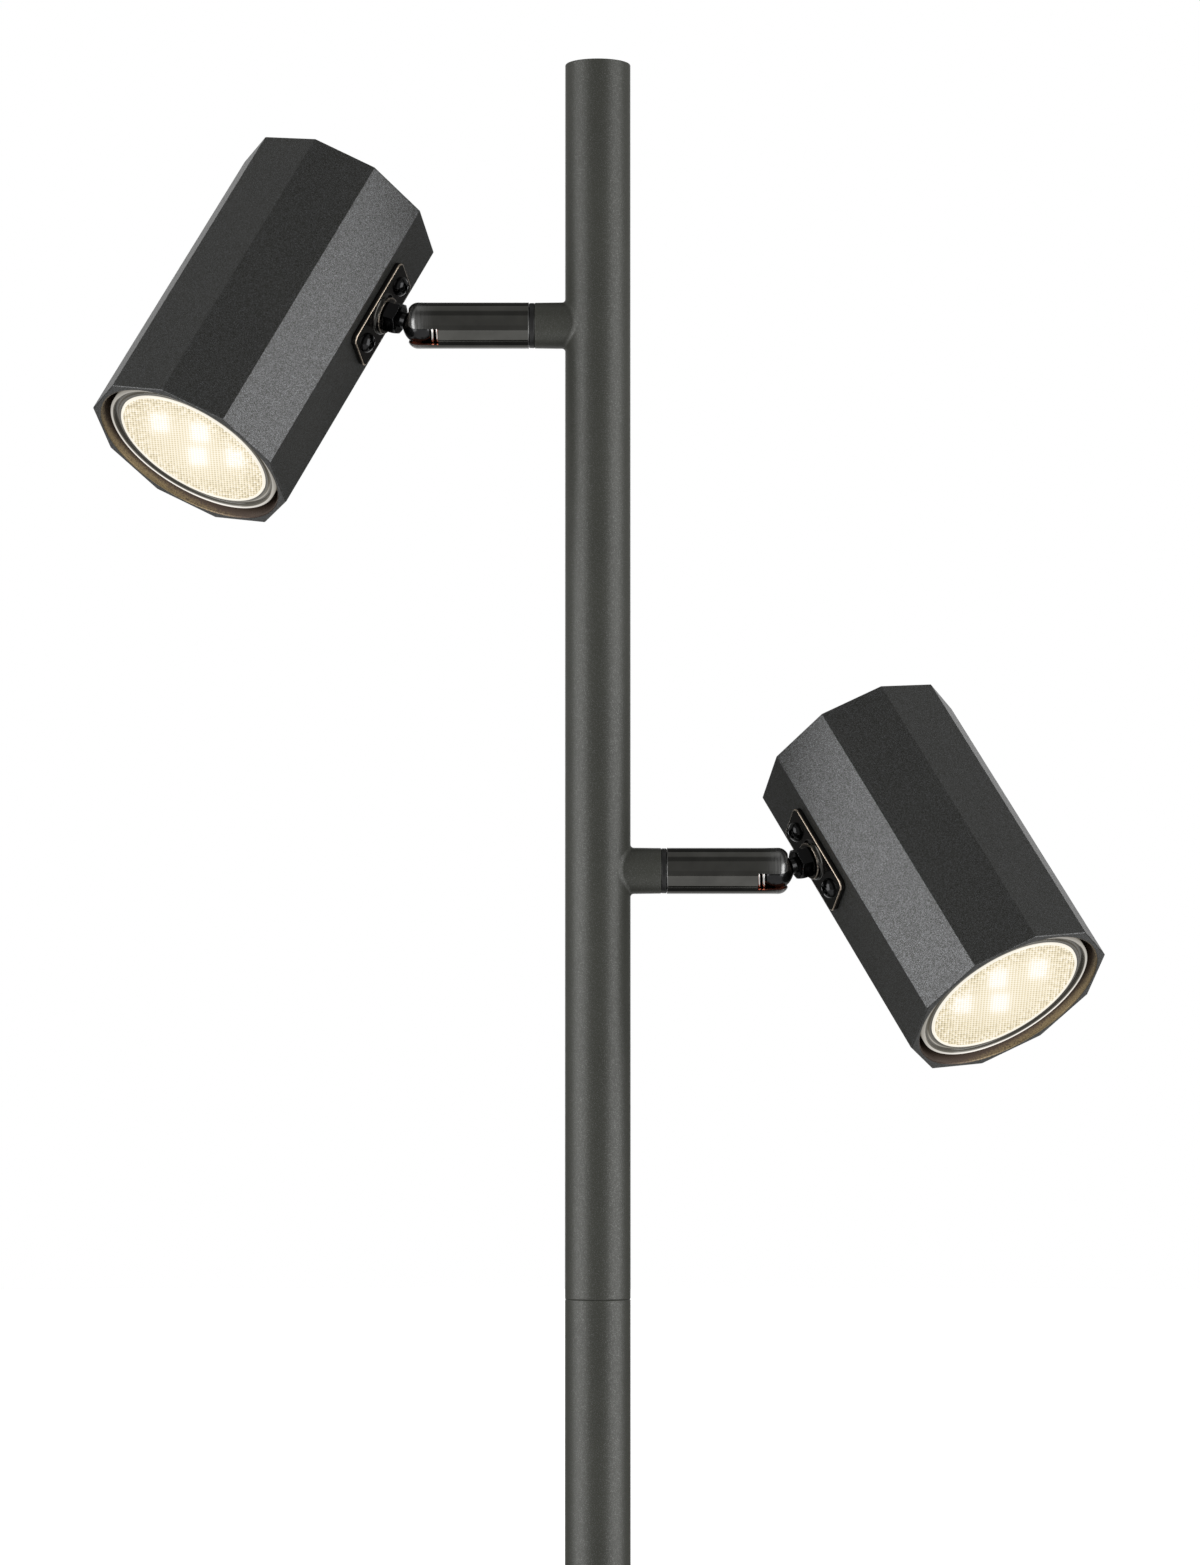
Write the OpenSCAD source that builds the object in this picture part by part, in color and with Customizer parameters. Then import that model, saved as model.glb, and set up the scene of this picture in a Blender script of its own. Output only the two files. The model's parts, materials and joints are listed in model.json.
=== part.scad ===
// Floor lamp with two adjustable spotlight heads.
// The origin is on the floor at the pole's axis, +Z is up, and the arms lie along -X and +X.

/* [Pole] */
// Outer diameter of the pole
pole_d = 18; // [16:0.5:22]
// Wall of the pole tube
pole_wall = 1.2; // [0.8:0.1:1.6]
// Length of one of the four pole sections
section_len = 340.5; // [300:0.5:400]
// Edge break at the ends of each tube, which shows as a thin seam
tube_edge = 0.3; // [0.1:0.05:0.5]
// Drop of the upper arm's axis below the pole's top
upper_arm_drop = 72.4; // [60:0.2:90]
// Height between the axes of the two arms
arm_spacing = 150.6; // [140:0.2:190]
// Thread diameter of the pole's screwed joints
joint_thread_d = 10; // [9:0.5:11]
// Height of the bush or plug that sits in a tube end
bush_h = 14; // [10:1:20]
// Length of thread that stands out of a nipple or a stem
thread_reach = 12; // [8:1:16]
// Height of the plug in the pole's open top
top_plug_h = 8; // [5:1:15]
// Depth of the top plug below the tube's end
top_plug_drop = 0.4; // [0:0.1:1]
// Diameter of the lead inside the pole
lead_d = 5.2; // [4:0.1:6]

/* [Base] */
// Diameter of the base
base_d = 230; // [200:5:280]
// Height of the base
base_h = 24; // [20:1:30]
// Wall of the base cover
cover_wall = 1.5; // [1:0.1:2]
// Rounding of the cover's upper edge
cover_edge_r = 8; // [4:1:12]
// Gap between the floor and the cover's skirt
skirt_lift = 1; // [0.5:0.1:1.5]
// Thickness of the pad under the base
pad_t = 2.5; // [2:0.5:4]
// Margin of the pad inside the base's outline
pad_margin = 3; // [2.5:0.5:8]
// Height of the iron weight
weight_h = 12; // [10:0.5:13]
// Diameter of the weight's raised hub
hub_d = 48; // [40:1:70]
// Diameter of the recess for the nut under the weight
nut_recess_d = 34; // [28:1:38]
// Height of the recess for the nut
nut_recess_h = 9; // [9:0.5:12]
// Width across the flats of the nut under the base
base_nut_af = 17; // [15:0.5:19]
// Height of the nut under the base
base_nut_h = 5; // [4:0.5:6]
// Diameter of the washer above that nut
base_washer_d = 24; // [21:0.5:26]
// Thickness of that washer
base_washer_t = 1.5; // [1:0.1:2]
// Diameter of the cord inlet's body
gland_d = 9; // [8:0.5:10]
// Bore of the cord inlet
cord_bore_d = 6.4; // [5:0.1:7]
// Diameter of the cord inlet's flange
gland_flange_d = 13; // [12:0.5:16]
// Thickness of the cord inlet's flange
gland_flange_t = 2; // [1:0.1:3]
// Length of the cord inlet inside the base
gland_len = 10; // [6:0.5:15]

/* [Arms] */
// Outer diameter of the sleeve and the arm
arm_d = 12.7; // [12:0.1:15]
// Length of the painted sleeve from the pole's surface
sleeve_len = 8.4; // [6:0.2:14]
// Height of the weld bead between the sleeve and the pole
sleeve_bead = 0.5; // [0.3:0.1:1]
// Thickness of the black washer that the arm turns on
washer_t = 1.5; // [1:0.1:2.5]
// Inset of that washer from the arm's surface
washer_inset = 0.15; // [0:0.05:0.5]
// Length of the arm from the washer to its mouth
arm_len = 33.2; // [30:0.2:45]
// Wall of the arm tube round the spring
arm_wall = 0.6; // [0.5:0.05:0.8]
// Rounding of the arm's outer end
arm_end_r = 3; // [2.8:0.1:3.6]
// Room between the ball and the arm's bore
ball_room = 0.55; // [0.45:0.05:0.7]
// Overlap of the mouth's lip over the ball
mouth_lip = 0.45; // [0.3:0.05:0.6]
// Depth of the ball's centre inside the mouth
mouth_depth = 3.55; // [3.3:0.05:3.7]
// Length of the slot behind the ball's centre
slot_behind = 4.7; // [3.6:0.1:6]
// Diameter of the hollow nipple that carries the arm
nipple_d = 8; // [7:0.25:8.5]
// Bore of that nipple
nipple_bore_d = 5.2; // [4:0.1:5.5]
// Step between the arm's front bore and its rear bore
arm_bore_step = 0.35; // [0.2:0.05:0.5]
// Length of the arm's bearing bush
arm_bush_len = 3.6; // [2.5:0.1:5]
// Thickness of the nut inside the arm
arm_nut_t = 3; // [2:0.1:3.5]
// Room between the nut and the spring's seat
arm_nut_room = 2; // [1:0.1:4]
// Thickness of the spring's seat
spring_seat_t = 1; // [0.6:0.1:2]
// Wire of the spring that presses on the ball
spring_wire_d = 0.7; // [0.5:0.05:0.8]
// Turns of that spring
spring_turns = 11; // [6:1:11]

/* [Ball stud and bracket] */
// Distance from the ball's centre to the hex nut
neck_reach = 6.6; // [6.4:0.1:10]
// Wall of the hollow neck
neck_wall = 0.8; // [0.6:0.05:1]
// Thread diameter of the stud
stud_d = 6; // [5.5:0.1:7]
// Width across the flats of the hex nut on the stud
lock_nut_af = 8; // [7.8:0.1:10]
// Thickness of the hex nut
lock_nut_t = 4; // [3:0.1:6]
// Diameter of the bracket's collar
collar_d = 10.4; // [9:0.1:12]
// Height of the bracket's collar
collar_h = 1.45; // [1:0.05:3]
// Thickness of the bracket plate
bracket_t = 1.6; // [1:0.1:3]
// Width of the bracket plate
bracket_w = 12.8; // [12:0.1:16]
// Length of the bracket plate
bracket_l = 29; // [28:0.5:40]
// Corner radius of the bracket plate
bracket_corner_r = 2.2; // [1:0.1:5]
// Spacing of the two bracket screws
screw_spacing = 20.4; // [18:0.1:22]
// Thread diameter of the bracket screws
screw_d = 3; // [2.5:0.1:3.5]
// Head diameter of the bracket screws
screw_head_d = 5.6; // [5:0.1:6.4]
// Head height of the bracket screws
screw_head_h = 2; // [1.6:0.1:2.6]
// Diameter of the nut inside the head
stud_nut_d = 10; // [9:0.1:11]
// Thickness of the nut inside the head
stud_nut_t = 2.5; // [2:0.1:4]

/* [Head] */
// Width of the ten-sided head across its flats
head_af = 56.8; // [55:0.2:64]
// Length of the head
head_len = 90.5; // [86:0.5:110]
// Wall of the head at the middle of a facet
head_wall = 1.3; // [1:0.1:2]
// Edge break at the mouth of the head's bore
head_mouth_edge = 0.5; // [0.2:0.1:0.8]
// Thickness of the head's rear wall
rear_wall = 3; // [2:0.5:5]
// Distance of the bracket's centre behind the front of the lampholder
bracket_past_holder = 2.6; // [2:0.1:6]
// Diameter of the cast bosses that carry the bridge
boss_d = 7; // [6:0.5:9]
// Spacing of those bosses
boss_spacing = 38; // [36:0.5:42]
// Length of those bosses
boss_len = 9.5; // [6:0.5:12]
// Width of the bridge strip
bridge_w = 10; // [8:0.5:14]
// Thickness of the bridge strip
bridge_t = 1.2; // [1:0.1:2]

/* [Lamp and lampholder] */
// Diameter of the lamp's front ring
lamp_d = 50.8; // [48:0.2:51]
// Depth of the lamp's front inside the head
lamp_recess = 1.8; // [0.5:0.1:3.5]
// Length of the lamp without its pins
lamp_len = 55.8; // [50:0.1:57]
// Diameter of the lamp's lens
lens_d = 44.4; // [38:0.2:45]
// Thickness of the lens
lens_t = 2; // [1.5:0.1:3]
// Ledge that the lens rests on
lens_ledge = 1.5; // [1:0.1:2]
// Depth of the cavity behind the lamp's front
lamp_cavity = 9; // [8:0.5:12]
// Height of the lamp's straight front ring
lamp_ring_h = 5; // [4:0.5:8]
// Diameter of the lamp's neck
lamp_neck_d = 28; // [24:0.5:32]
// Length of the lamp's neck
lamp_neck_len = 12; // [8:0.5:16]
// Thickness of the LED board
board_t = 1.6; // [1:0.1:2]
// Diameter of an LED on the board
led_d = 5; // [3:0.5:6]
// Circle on which the LEDs sit
led_circle_d = 20; // [16:0.5:24]
// Height of an LED
led_h = 1; // [0.5:0.1:1.5]
// Number of LEDs on the circle
led_count = 5; // [3:1:6]
// Spacing of the lamp's two pins
pin_spacing = 10; // [9:0.5:11]
// Diameter of a pin
pin_d = 3; // [2.5:0.1:3.4]
// Diameter of a pin's head
pin_head_d = 5; // [4.5:0.1:5.4]
// Length of a pin
pin_len = 6.5; // [5.5:0.1:7.5]
// Diameter of the lampholder
holder_d = 27; // [25:0.5:32]
// Spacing of the screws that hold the lampholder
holder_screw_spacing = 18; // [17:0.5:20]
// Diameter of a lead inside the head
head_lead_d = 1.8; // [1.4:0.1:2]

/* [Rest pose] */
// Turn of the upper arm about its own axis, from the slot pointing straight down
upper_arm_turn = 48.6; // [-90:0.1:90]
// Turn of the lower arm about its own axis
lower_arm_turn = -55.4; // [-90:0.1:90]
// Tilt of both studs from the arm's axis, positive into the slot
stud_tilt = -28; // [-28:0.5:45]
// Turn of the upper head on its stud
upper_head_turn = -22.2; // [-180:0.1:180]
// Turn of the lower head on its stud
lower_head_turn = 23; // [-180:0.1:180]

/* [Hidden] */
$fn = 64;
SIDES = ["upper", "lower"];
STAND_NODES = ["base_cover", "base_weight", "base_pad", "base_stem", "base_washer", "base_nut", "cord_gland",
    "pole_section_1", "pole_section_2", "pole_section_3", "pole_section_4", "foot_bush", "joint_bushes",
    "joint_nipples", "top_plug", "pole_lead"];
SIDE_NODES = ["arm_sleeve", "swivel_washer", "arm_nipple", "arm_nut", "arm_bush", "socket_arm", "spring_seat",
    "joint_spring", "ball_stud", "lock_nut", "stud_nut", "head_bracket", "bracket_screws", "head_shell",
    "holder_bridge", "holder_screws", "lampholder", "lamp_housing", "lamp_pins", "led_board", "lamp_lens",
    "head_leads"];

// Clearances of turning pieces, threads, pieces set into one another, the stud's neck and a lead
turn_gap = 0.05;
thread_gap = 0.02;
seat_gap = 0.3;
neck_gap = 0.25;
lead_gap = 0.6;
// Overlap of a cut past the face that it leaves
over = 1;

// Pole and base, from the floor up
pole_r = pole_d / 2;
pole_bore_r = pole_r - pole_wall;
section_count = 4;
pole_top_z = base_h + section_count * section_len;
joint_zs = [for (k = [1 : section_count - 1]) base_h + k * section_len];
joint_thread_r = joint_thread_d / 2;
lead_bore_r = lead_d / 2 + lead_gap;
base_r = base_d / 2;
cover_in_h = base_h - cover_wall;
weight_gap = 0.5;
weight_r = base_r - cover_wall - weight_gap;
recess_top_z = pad_t + nut_recess_h;
base_nut_top_z = recess_top_z - base_washer_t;
stem_low_z = base_nut_top_z - base_nut_h - over;
gland_z = pad_t + gland_d / 2 + over;
groove_w = gland_d + 2 * weight_gap;

// Arms, measured outwards from the pole's axis
arm_z = [pole_top_z - upper_arm_drop, pole_top_z - upper_arm_drop - arm_spacing];
arm_heading = [180, 0];
arm_turn = [upper_arm_turn, lower_arm_turn];
head_turn = [upper_head_turn, lower_head_turn];
arm_r = arm_d / 2;
sleeve_end = pole_r + sleeve_len;
arm_start = sleeve_end + washer_t + turn_gap;
arm_end = arm_start + arm_len;
pivot_x = arm_end - mouth_depth;
arm_bore_r = arm_r - arm_wall;
arm_rear_bore_r = arm_bore_r - arm_bore_step;
nipple_r = nipple_d / 2;
nipple_hole_r = nipple_r + seat_gap;
arm_nut_x = arm_start + arm_bush_len + turn_gap;
nipple_end = arm_nut_x + arm_nut_t + over / 2;
shoulder_x = arm_nut_x + arm_nut_t + arm_nut_room;
ball_r = arm_bore_r - ball_room;
ball_seat_r = ball_r + turn_gap;
mouth_r = ball_r - mouth_lip;
arm_round_x = arm_end - sqrt(pow(arm_end_r, 2) - pow(mouth_r - arm_r + arm_end_r, 2));

// Spring, which ends where its last turn meets the ball
spring_wire_r = spring_wire_d / 2;
spring_r = arm_bore_r - seat_gap - spring_wire_r;
spring_low = shoulder_x + spring_seat_t + spring_wire_r + turn_gap;
spring_high = pivot_x - sqrt(pow(ball_r + seat_gap + spring_wire_r, 2) - pow(spring_r, 2));
spring_rings_a_turn = 8;
spring_sides = 6;
spring_rings = spring_turns * spring_rings_a_turn;

// Stud, measured from the ball's centre towards the head; its neck clears the mouth at the full back tilt
back_tilt = 28;
neck_r = mouth_r * cos(back_tilt) - mouth_depth * sin(back_tilt) - neck_gap;
slot_w = 2 * (neck_r + seat_gap);
stud_r = stud_d / 2;
stud_bore_r = neck_r - neck_wall;
collar_x = neck_reach + lock_nut_t + turn_gap;
plate_x = collar_x + collar_h;
facet_x = plate_x + bracket_t;

// Head, with its axis parallel to Z and its bracket facet facing the arm
head_sides = 10;
head_apothem = head_af / 2;
head_corner_r = head_apothem / cos(180 / head_sides);
head_bore_r = head_apothem - head_wall;
head_x = facet_x + head_apothem;
stud_nut_x = head_x - sqrt(pow(head_bore_r, 2) - pow(stud_nut_d / 2, 2)) + turn_gap;
stud_end = stud_nut_x + stud_nut_t + over / 2;
lamp_back = lamp_recess + lamp_len;
holder_front = lamp_back + seat_gap;
bracket_at = holder_front + bracket_past_holder;
bore_end = head_len - rear_wall;
boss_at = bore_end - boss_len;
bridge_at = boss_at - bridge_t;
holder_h = bridge_at - holder_front;
lens_r = lens_d / 2;
lamp_r = lamp_d / 2;
lamp_step = (lamp_r - lens_r) / 3;

// Helpers

// A cylinder along X from one place to another
module x_rod(from, to, r) {
    translate([from, 0, 0]) rotate([0, 90, 0]) cylinder(h = to - from, r = r);
}

// A hex prism along X, given by its width across the flats
module x_hex(from, to, af) {
    translate([from, 0, 0]) rotate([0, 90, 0]) cylinder(h = to - from, r = af / 2 / cos(30), $fn = 6);
}

// A cylinder along Z from one height to another
module z_rod(from, to, r) {
    translate([0, 0, from]) cylinder(h = to - from, r = r);
}

// A disc on the floor with a rounded upper edge
module rounded_disc(r, h, edge_r) {
    rotate_extrude() union() {
        square([r, h - edge_r]);
        square([r - edge_r, h]);
        translate([r - edge_r, h - edge_r]) intersection() {
            circle(edge_r);
            square(edge_r);
        }
    }
}

// Frame of an arm where it meets the pole: X points outwards
module at_arm(i) {
    translate([0, 0, arm_z[i]]) rotate([0, 0, arm_heading[i]]) children();
}

// Frame of an arm that is turned about its own axis
module on_arm(i) {
    at_arm(i) rotate([arm_turn[i], 0, 0]) children();
}

// Frame of a stud: the origin is the ball's centre and X points along the stud
module on_stud(i) {
    on_arm(i) translate([pivot_x, 0, 0]) rotate([0, stud_tilt, 0]) children();
}

// Frame of a head that is turned on its stud: Z points from the lens to the rear
module on_head(i) {
    on_stud(i) rotate([head_turn[i], 0, 0]) children();
}

// Frame on the head's own axis, with its origin at the lens end
module in_head(i) {
    on_head(i) translate([head_x, 0, -bracket_at]) children();
}

// Two copies, at plus and minus half a spacing along a direction
module pair(spacing, direction) {
    for (sign = [-1, 1]) translate(sign * spacing / 2 * direction) children();
}

// Base

module base_cover() {
    color("#3f403e") difference() {
        intersection() {
            rounded_disc(base_r, base_h, cover_edge_r);
            z_rod(skirt_lift, base_h, base_r + over);
        }
        rounded_disc(base_r - cover_wall, cover_in_h, cover_edge_r - cover_wall);
        z_rod(0, base_h + over, joint_thread_r + seat_gap);
        translate([0, 0, gland_z]) rotate([-90, 0, 0]) z_rod(hub_d, base_r + over, gland_d / 2 + turn_gap);
    }
}

module base_weight() {
    color("#4a4a48") difference() {
        union() {
            intersection() {
                rounded_disc(weight_r, cover_in_h - weight_gap, cover_edge_r - cover_wall);
                z_rod(pad_t, pad_t + weight_h, base_r);
            }
            z_rod(pad_t, cover_in_h, hub_d / 2);
        }
        z_rod(0, base_h, joint_thread_r + seat_gap);
        z_rod(0, recess_top_z, nut_recess_d / 2);
        translate([-groove_w / 2, 0, 0]) cube([groove_w, base_r, gland_z + groove_w / 2]);
    }
}

module base_pad() {
    color("#1d1d1d") z_rod(0, pad_t, base_r - pad_margin);
}

module base_stem() {
    color("#c9c6bd") difference() {
        z_rod(stem_low_z, base_h + thread_reach, joint_thread_r);
        z_rod(0, base_h + thread_reach + over, lead_bore_r);
    }
}

module base_washer() {
    color("#c9c6bd") difference() {
        z_rod(base_nut_top_z, recess_top_z, base_washer_d / 2);
        z_rod(0, base_h, joint_thread_r + seat_gap);
    }
}

module base_nut() {
    color("#c9c6bd") difference() {
        translate([0, 0, base_nut_top_z - base_nut_h])
            cylinder(h = base_nut_h, r = base_nut_af / 2 / cos(30), $fn = 6);
        z_rod(0, base_h, joint_thread_r + thread_gap);
    }
}

module cord_gland() {
    color("#1d1d1d") translate([0, 0, gland_z]) rotate([-90, 0, 0]) difference() {
        union() {
            z_rod(base_r - gland_len, base_r + gland_flange_t, gland_d / 2);
            z_rod(base_r, base_r + gland_flange_t, gland_flange_d / 2);
        }
        z_rod(0, base_d, cord_bore_d / 2);
    }
}

// Pole

// One tube of the pole, with its ends' outer edges broken
module pole_tube(k) {
    low = base_h + (k - 1) * section_len;
    rim_r = pole_r - tube_edge;
    translate([0, 0, low]) difference() {
        union() {
            cylinder(h = tube_edge, r1 = rim_r, r2 = pole_r);
            z_rod(tube_edge, section_len - tube_edge, pole_r);
            translate([0, 0, section_len - tube_edge]) cylinder(h = tube_edge, r1 = pole_r, r2 = rim_r);
        }
        z_rod(-over, section_len + over, pole_bore_r);
    }
}

module pole_section(k) {
    color("#4a4b48") difference() {
        pole_tube(k);
        if (k == section_count) for (i = [0, 1]) at_arm(i) x_rod(0, pole_d, nipple_hole_r);
    }
}

// A bush in a tube end, from one height up, with a threaded bore
module threaded_bush(low) {
    difference() {
        z_rod(low, low + bush_h, pole_bore_r - thread_gap);
        z_rod(low - over, low + bush_h + over, joint_thread_r + thread_gap);
    }
}

module foot_bush() {
    color("#b9a56a") threaded_bush(base_h);
}

module joint_bushes() {
    color("#b9a56a") for (z = joint_zs) threaded_bush(z - bush_h);
}

module joint_nipples() {
    color("#c9c6bd") for (z = joint_zs) difference() {
        union() {
            z_rod(z, z + bush_h, pole_bore_r - thread_gap);
            z_rod(z - thread_reach, z + over, joint_thread_r);
        }
        z_rod(z - thread_reach - over, z + bush_h + over, lead_bore_r);
    }
}

module top_plug() {
    top = pole_top_z - top_plug_drop;
    color("#232323") z_rod(top - top_plug_h, top, pole_bore_r - thread_gap);
}

module pole_lead() {
    color("#e4e2dc") z_rod(stem_low_z, arm_z[0], lead_d / 2);
}

// Arms

module arm_sleeve(i) {
    color("#4a4b48") at_arm(i) difference() {
        union() {
            x_rod(0, sleeve_end, arm_r);
            intersection() {
                x_rod(0, sleeve_end, arm_r + sleeve_bead);
                cylinder(h = 2 * arm_d, r = pole_r + sleeve_bead, center = true);
            }
        }
        cylinder(h = 4 * arm_d, r = pole_r, center = true);
        x_rod(0, sleeve_end + over, nipple_r + thread_gap);
    }
}

module swivel_washer(i) {
    color("#161616") at_arm(i) difference() {
        x_rod(sleeve_end, sleeve_end + washer_t, arm_r - washer_inset);
        x_rod(0, arm_start, nipple_r + turn_gap);
    }
}

module arm_nipple(i) {
    color("#c9c6bd") at_arm(i) difference() {
        x_rod(pole_bore_r, nipple_end, nipple_r);
        x_rod(0, nipple_end + over, nipple_bore_d / 2);
    }
}

module arm_nut(i) {
    nut_af = 2 * (arm_rear_bore_r - seat_gap) * cos(30);
    color("#c9c6bd") at_arm(i) difference() {
        x_hex(arm_nut_x, arm_nut_x + arm_nut_t, nut_af);
        x_rod(0, arm_end, nipple_r + thread_gap);
    }
}

module arm_bush(i) {
    color("#b9a56a") on_arm(i) difference() {
        x_rod(arm_start, arm_start + arm_bush_len, arm_rear_bore_r - thread_gap);
        x_rod(0, arm_end, nipple_r + turn_gap);
    }
}

// Outline of the arm from its axis outwards, with the rounded end
module arm_outline() {
    intersection() {
        translate([0, arm_start]) square([arm_r, arm_len]);
        union() {
            square([arm_r, arm_round_x]);
            square([arm_r - arm_end_r, arm_end]);
            translate([arm_r - arm_end_r, arm_round_x]) circle(arm_end_r);
        }
    }
}

module socket_arm(i) {
    color("#26272a") on_arm(i) difference() {
        rotate([0, 90, 0]) rotate_extrude() arm_outline();
        x_rod(0, shoulder_x + over, arm_rear_bore_r);
        x_rod(shoulder_x, pivot_x, arm_bore_r);
        translate([pivot_x, 0, 0]) sphere(ball_seat_r);
        x_rod(pivot_x, arm_end + over, mouth_r);
        translate([pivot_x - slot_behind, -slot_w / 2, -arm_d]) cube([arm_len, slot_w, arm_d]);
    }
}

module spring_seat(i) {
    color("#b9a56a") on_arm(i) difference() {
        x_rod(shoulder_x, shoulder_x + spring_seat_t, arm_bore_r - thread_gap);
        x_rod(0, arm_end, nipple_bore_d / 2);
    }
}

// Centre of the spring's wire at one of its rings
function spring_point(k) = let (a = 360 * k / spring_rings_a_turn)
    [spring_low + (spring_high - spring_low) * k / spring_rings, spring_r * cos(a), spring_r * sin(a)];

// Corners of the wire's section at one of its rings, in the plane through the arm's axis
function spring_ring(k) = let (a = 360 * k / spring_rings_a_turn, out = [0, cos(a), sin(a)])
    [for (j = [0 : spring_sides - 1]) let (b = 360 * j / spring_sides)
        spring_point(k) + spring_wire_r * (cos(b) * out + sin(b) * [1, 0, 0])];

spring_least_gap = min([for (k = [0 : spring_rings])
    for (m = [k + spring_rings_a_turn / 2 : 1 : spring_rings])
        norm(spring_point(k) - spring_point(m))]) - spring_wire_d;
echo("joint_spring least gap to itself", spring_least_gap);

module joint_spring(i) {
    n = spring_sides;
    last = spring_rings * n;
    points = [for (k = [0 : spring_rings]) each spring_ring(k)];
    walls = [for (k = [0 : spring_rings - 1]) for (j = [0 : n - 1])
        let (a = k * n + j, b = k * n + (j + 1) % n) each [[a, b, b + n], [a, b + n, a + n]]];
    ends = [for (j = [1 : n - 2]) each [[0, j + 1, j], [last, last + j, last + j + 1]]];
    color("#d8d8d4") on_arm(i) polyhedron(points = points, faces = concat(walls, ends));
}

// Ball stud and bracket

module ball_stud(i) {
    color("#1b1b1c") on_stud(i) difference() {
        union() {
            sphere(ball_r);
            x_rod(0, neck_reach, neck_r);
            x_rod(neck_reach, stud_end, stud_r);
        }
        x_rod(-arm_d, stud_end + over, stud_bore_r);
    }
}

module lock_nut(i) {
    color("#1b1b1c") on_stud(i) difference() {
        rotate([30, 0, 0]) x_hex(neck_reach, neck_reach + lock_nut_t, lock_nut_af);
        x_rod(0, stud_end, stud_r + thread_gap);
    }
}

module stud_nut(i) {
    color("#c9c6bd") on_stud(i) difference() {
        x_hex(stud_nut_x, stud_nut_x + stud_nut_t, stud_nut_d * cos(30));
        x_rod(0, stud_end + over, stud_r + thread_gap);
    }
}

// Outline of the bracket plate, with its length along the first axis
module bracket_outline() {
    inner = [bracket_l - 2 * bracket_corner_r, bracket_w - 2 * bracket_corner_r];
    union() {
        square([inner[0], bracket_w], center = true);
        square([bracket_l, inner[1]], center = true);
        for (x = [-1, 1]) for (y = [-1, 1])
            translate([x * inner[0] / 2, y * inner[1] / 2]) circle(bracket_corner_r);
    }
}

module head_bracket(i) {
    color("#2b2926") on_head(i) difference() {
        union() {
            translate([plate_x, 0, 0]) rotate([0, 90, 0]) linear_extrude(bracket_t) bracket_outline();
            x_rod(collar_x, plate_x, collar_d / 2);
        }
        x_rod(0, facet_x + over, stud_r + turn_gap);
        pair(screw_spacing, [0, 0, 1]) x_rod(0, facet_x + over, screw_d / 2 + turn_gap);
    }
}

// One pan head screw with a cross recess, its head seated on the bracket plate
module bracket_screw() {
    crown_r = (pow(screw_head_d / 2, 2) + pow(screw_head_h, 2)) / 2 / screw_head_h;
    recess = [screw_head_h, screw_head_d / 6, screw_head_d * 0.6];
    tip = head_x - head_bore_r + over / 2;
    difference() {
        union() {
            intersection() {
                translate([plate_x - screw_head_h + crown_r, 0, 0]) sphere(crown_r);
                x_rod(plate_x - screw_head_h, plate_x, screw_head_d / 2);
            }
            x_rod(plate_x, tip, screw_d / 2);
        }
        for (turn = [0, 90]) rotate([turn, 0, 0])
            translate([plate_x - 1.5 * screw_head_h, -recess[1] / 2, -recess[2] / 2]) cube(recess);
    }
}

module bracket_screws(i) {
    color("#161617") on_head(i) pair(screw_spacing, [0, 0, 1]) bracket_screw();
}

// Head

module head_shell(i) {
    color("#3c3d3e") on_head(i) difference() {
        translate([head_x, 0, -bracket_at]) difference() {
            rotate([0, 0, 180 / head_sides]) cylinder(h = head_len, r = head_corner_r, $fn = head_sides);
            difference() {
                union() {
                    z_rod(-over, bore_end, head_bore_r);
                    cylinder(h = head_mouth_edge, r1 = head_bore_r + head_mouth_edge, r2 = head_bore_r);
                }
                pair(boss_spacing, [0, 1, 0]) z_rod(boss_at, bore_end + over, boss_d / 2);
            }
            pair(boss_spacing, [0, 1, 0]) z_rod(boss_at - over, bore_end - over, screw_d / 2 + thread_gap);
        }
        x_rod(0, head_x, stud_r + seat_gap);
        pair(screw_spacing, [0, 0, 1]) x_rod(0, head_x, screw_d / 2 + thread_gap);
    }
}

module holder_bridge(i) {
    bridge_l = boss_spacing + bridge_w;
    color("#c9c6bd") in_head(i) translate([0, 0, bridge_at]) difference() {
        translate([-bridge_w / 2, -bridge_l / 2, 0]) cube([bridge_w, bridge_l, bridge_t]);
        pair(boss_spacing, [0, 1, 0]) z_rod(-over, bridge_t + over, screw_d / 2 + turn_gap);
        pair(holder_screw_spacing, [0, 1, 0]) z_rod(-over, bridge_t + over, screw_d / 2 + turn_gap);
    }
}

// A cheese head screw along Z, from the seat of its head to its tip
module cheese_screw(head_h, shank_len) {
    z_rod(-shank_len, 0, screw_d / 2);
    difference() {
        z_rod(0, head_h, screw_head_d / 2);
        translate([-screw_head_d / 2, -screw_d / 8, head_h / 2]) cube([screw_head_d, screw_d / 4, head_h]);
    }
}

module holder_screws(i) {
    holder_grip = bridge_t + holder_h / 3;
    boss_grip = bridge_t + (bore_end - boss_at) / 2;
    color("#c9c6bd") in_head(i) {
        pair(holder_screw_spacing, [0, 1, 0]) translate([0, 0, boss_at])
            cheese_screw(screw_head_h, holder_grip);
        pair(boss_spacing, [0, 1, 0]) translate([0, 0, bridge_at]) mirror([0, 0, 1])
            cheese_screw(screw_head_h, boss_grip);
    }
}

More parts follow.
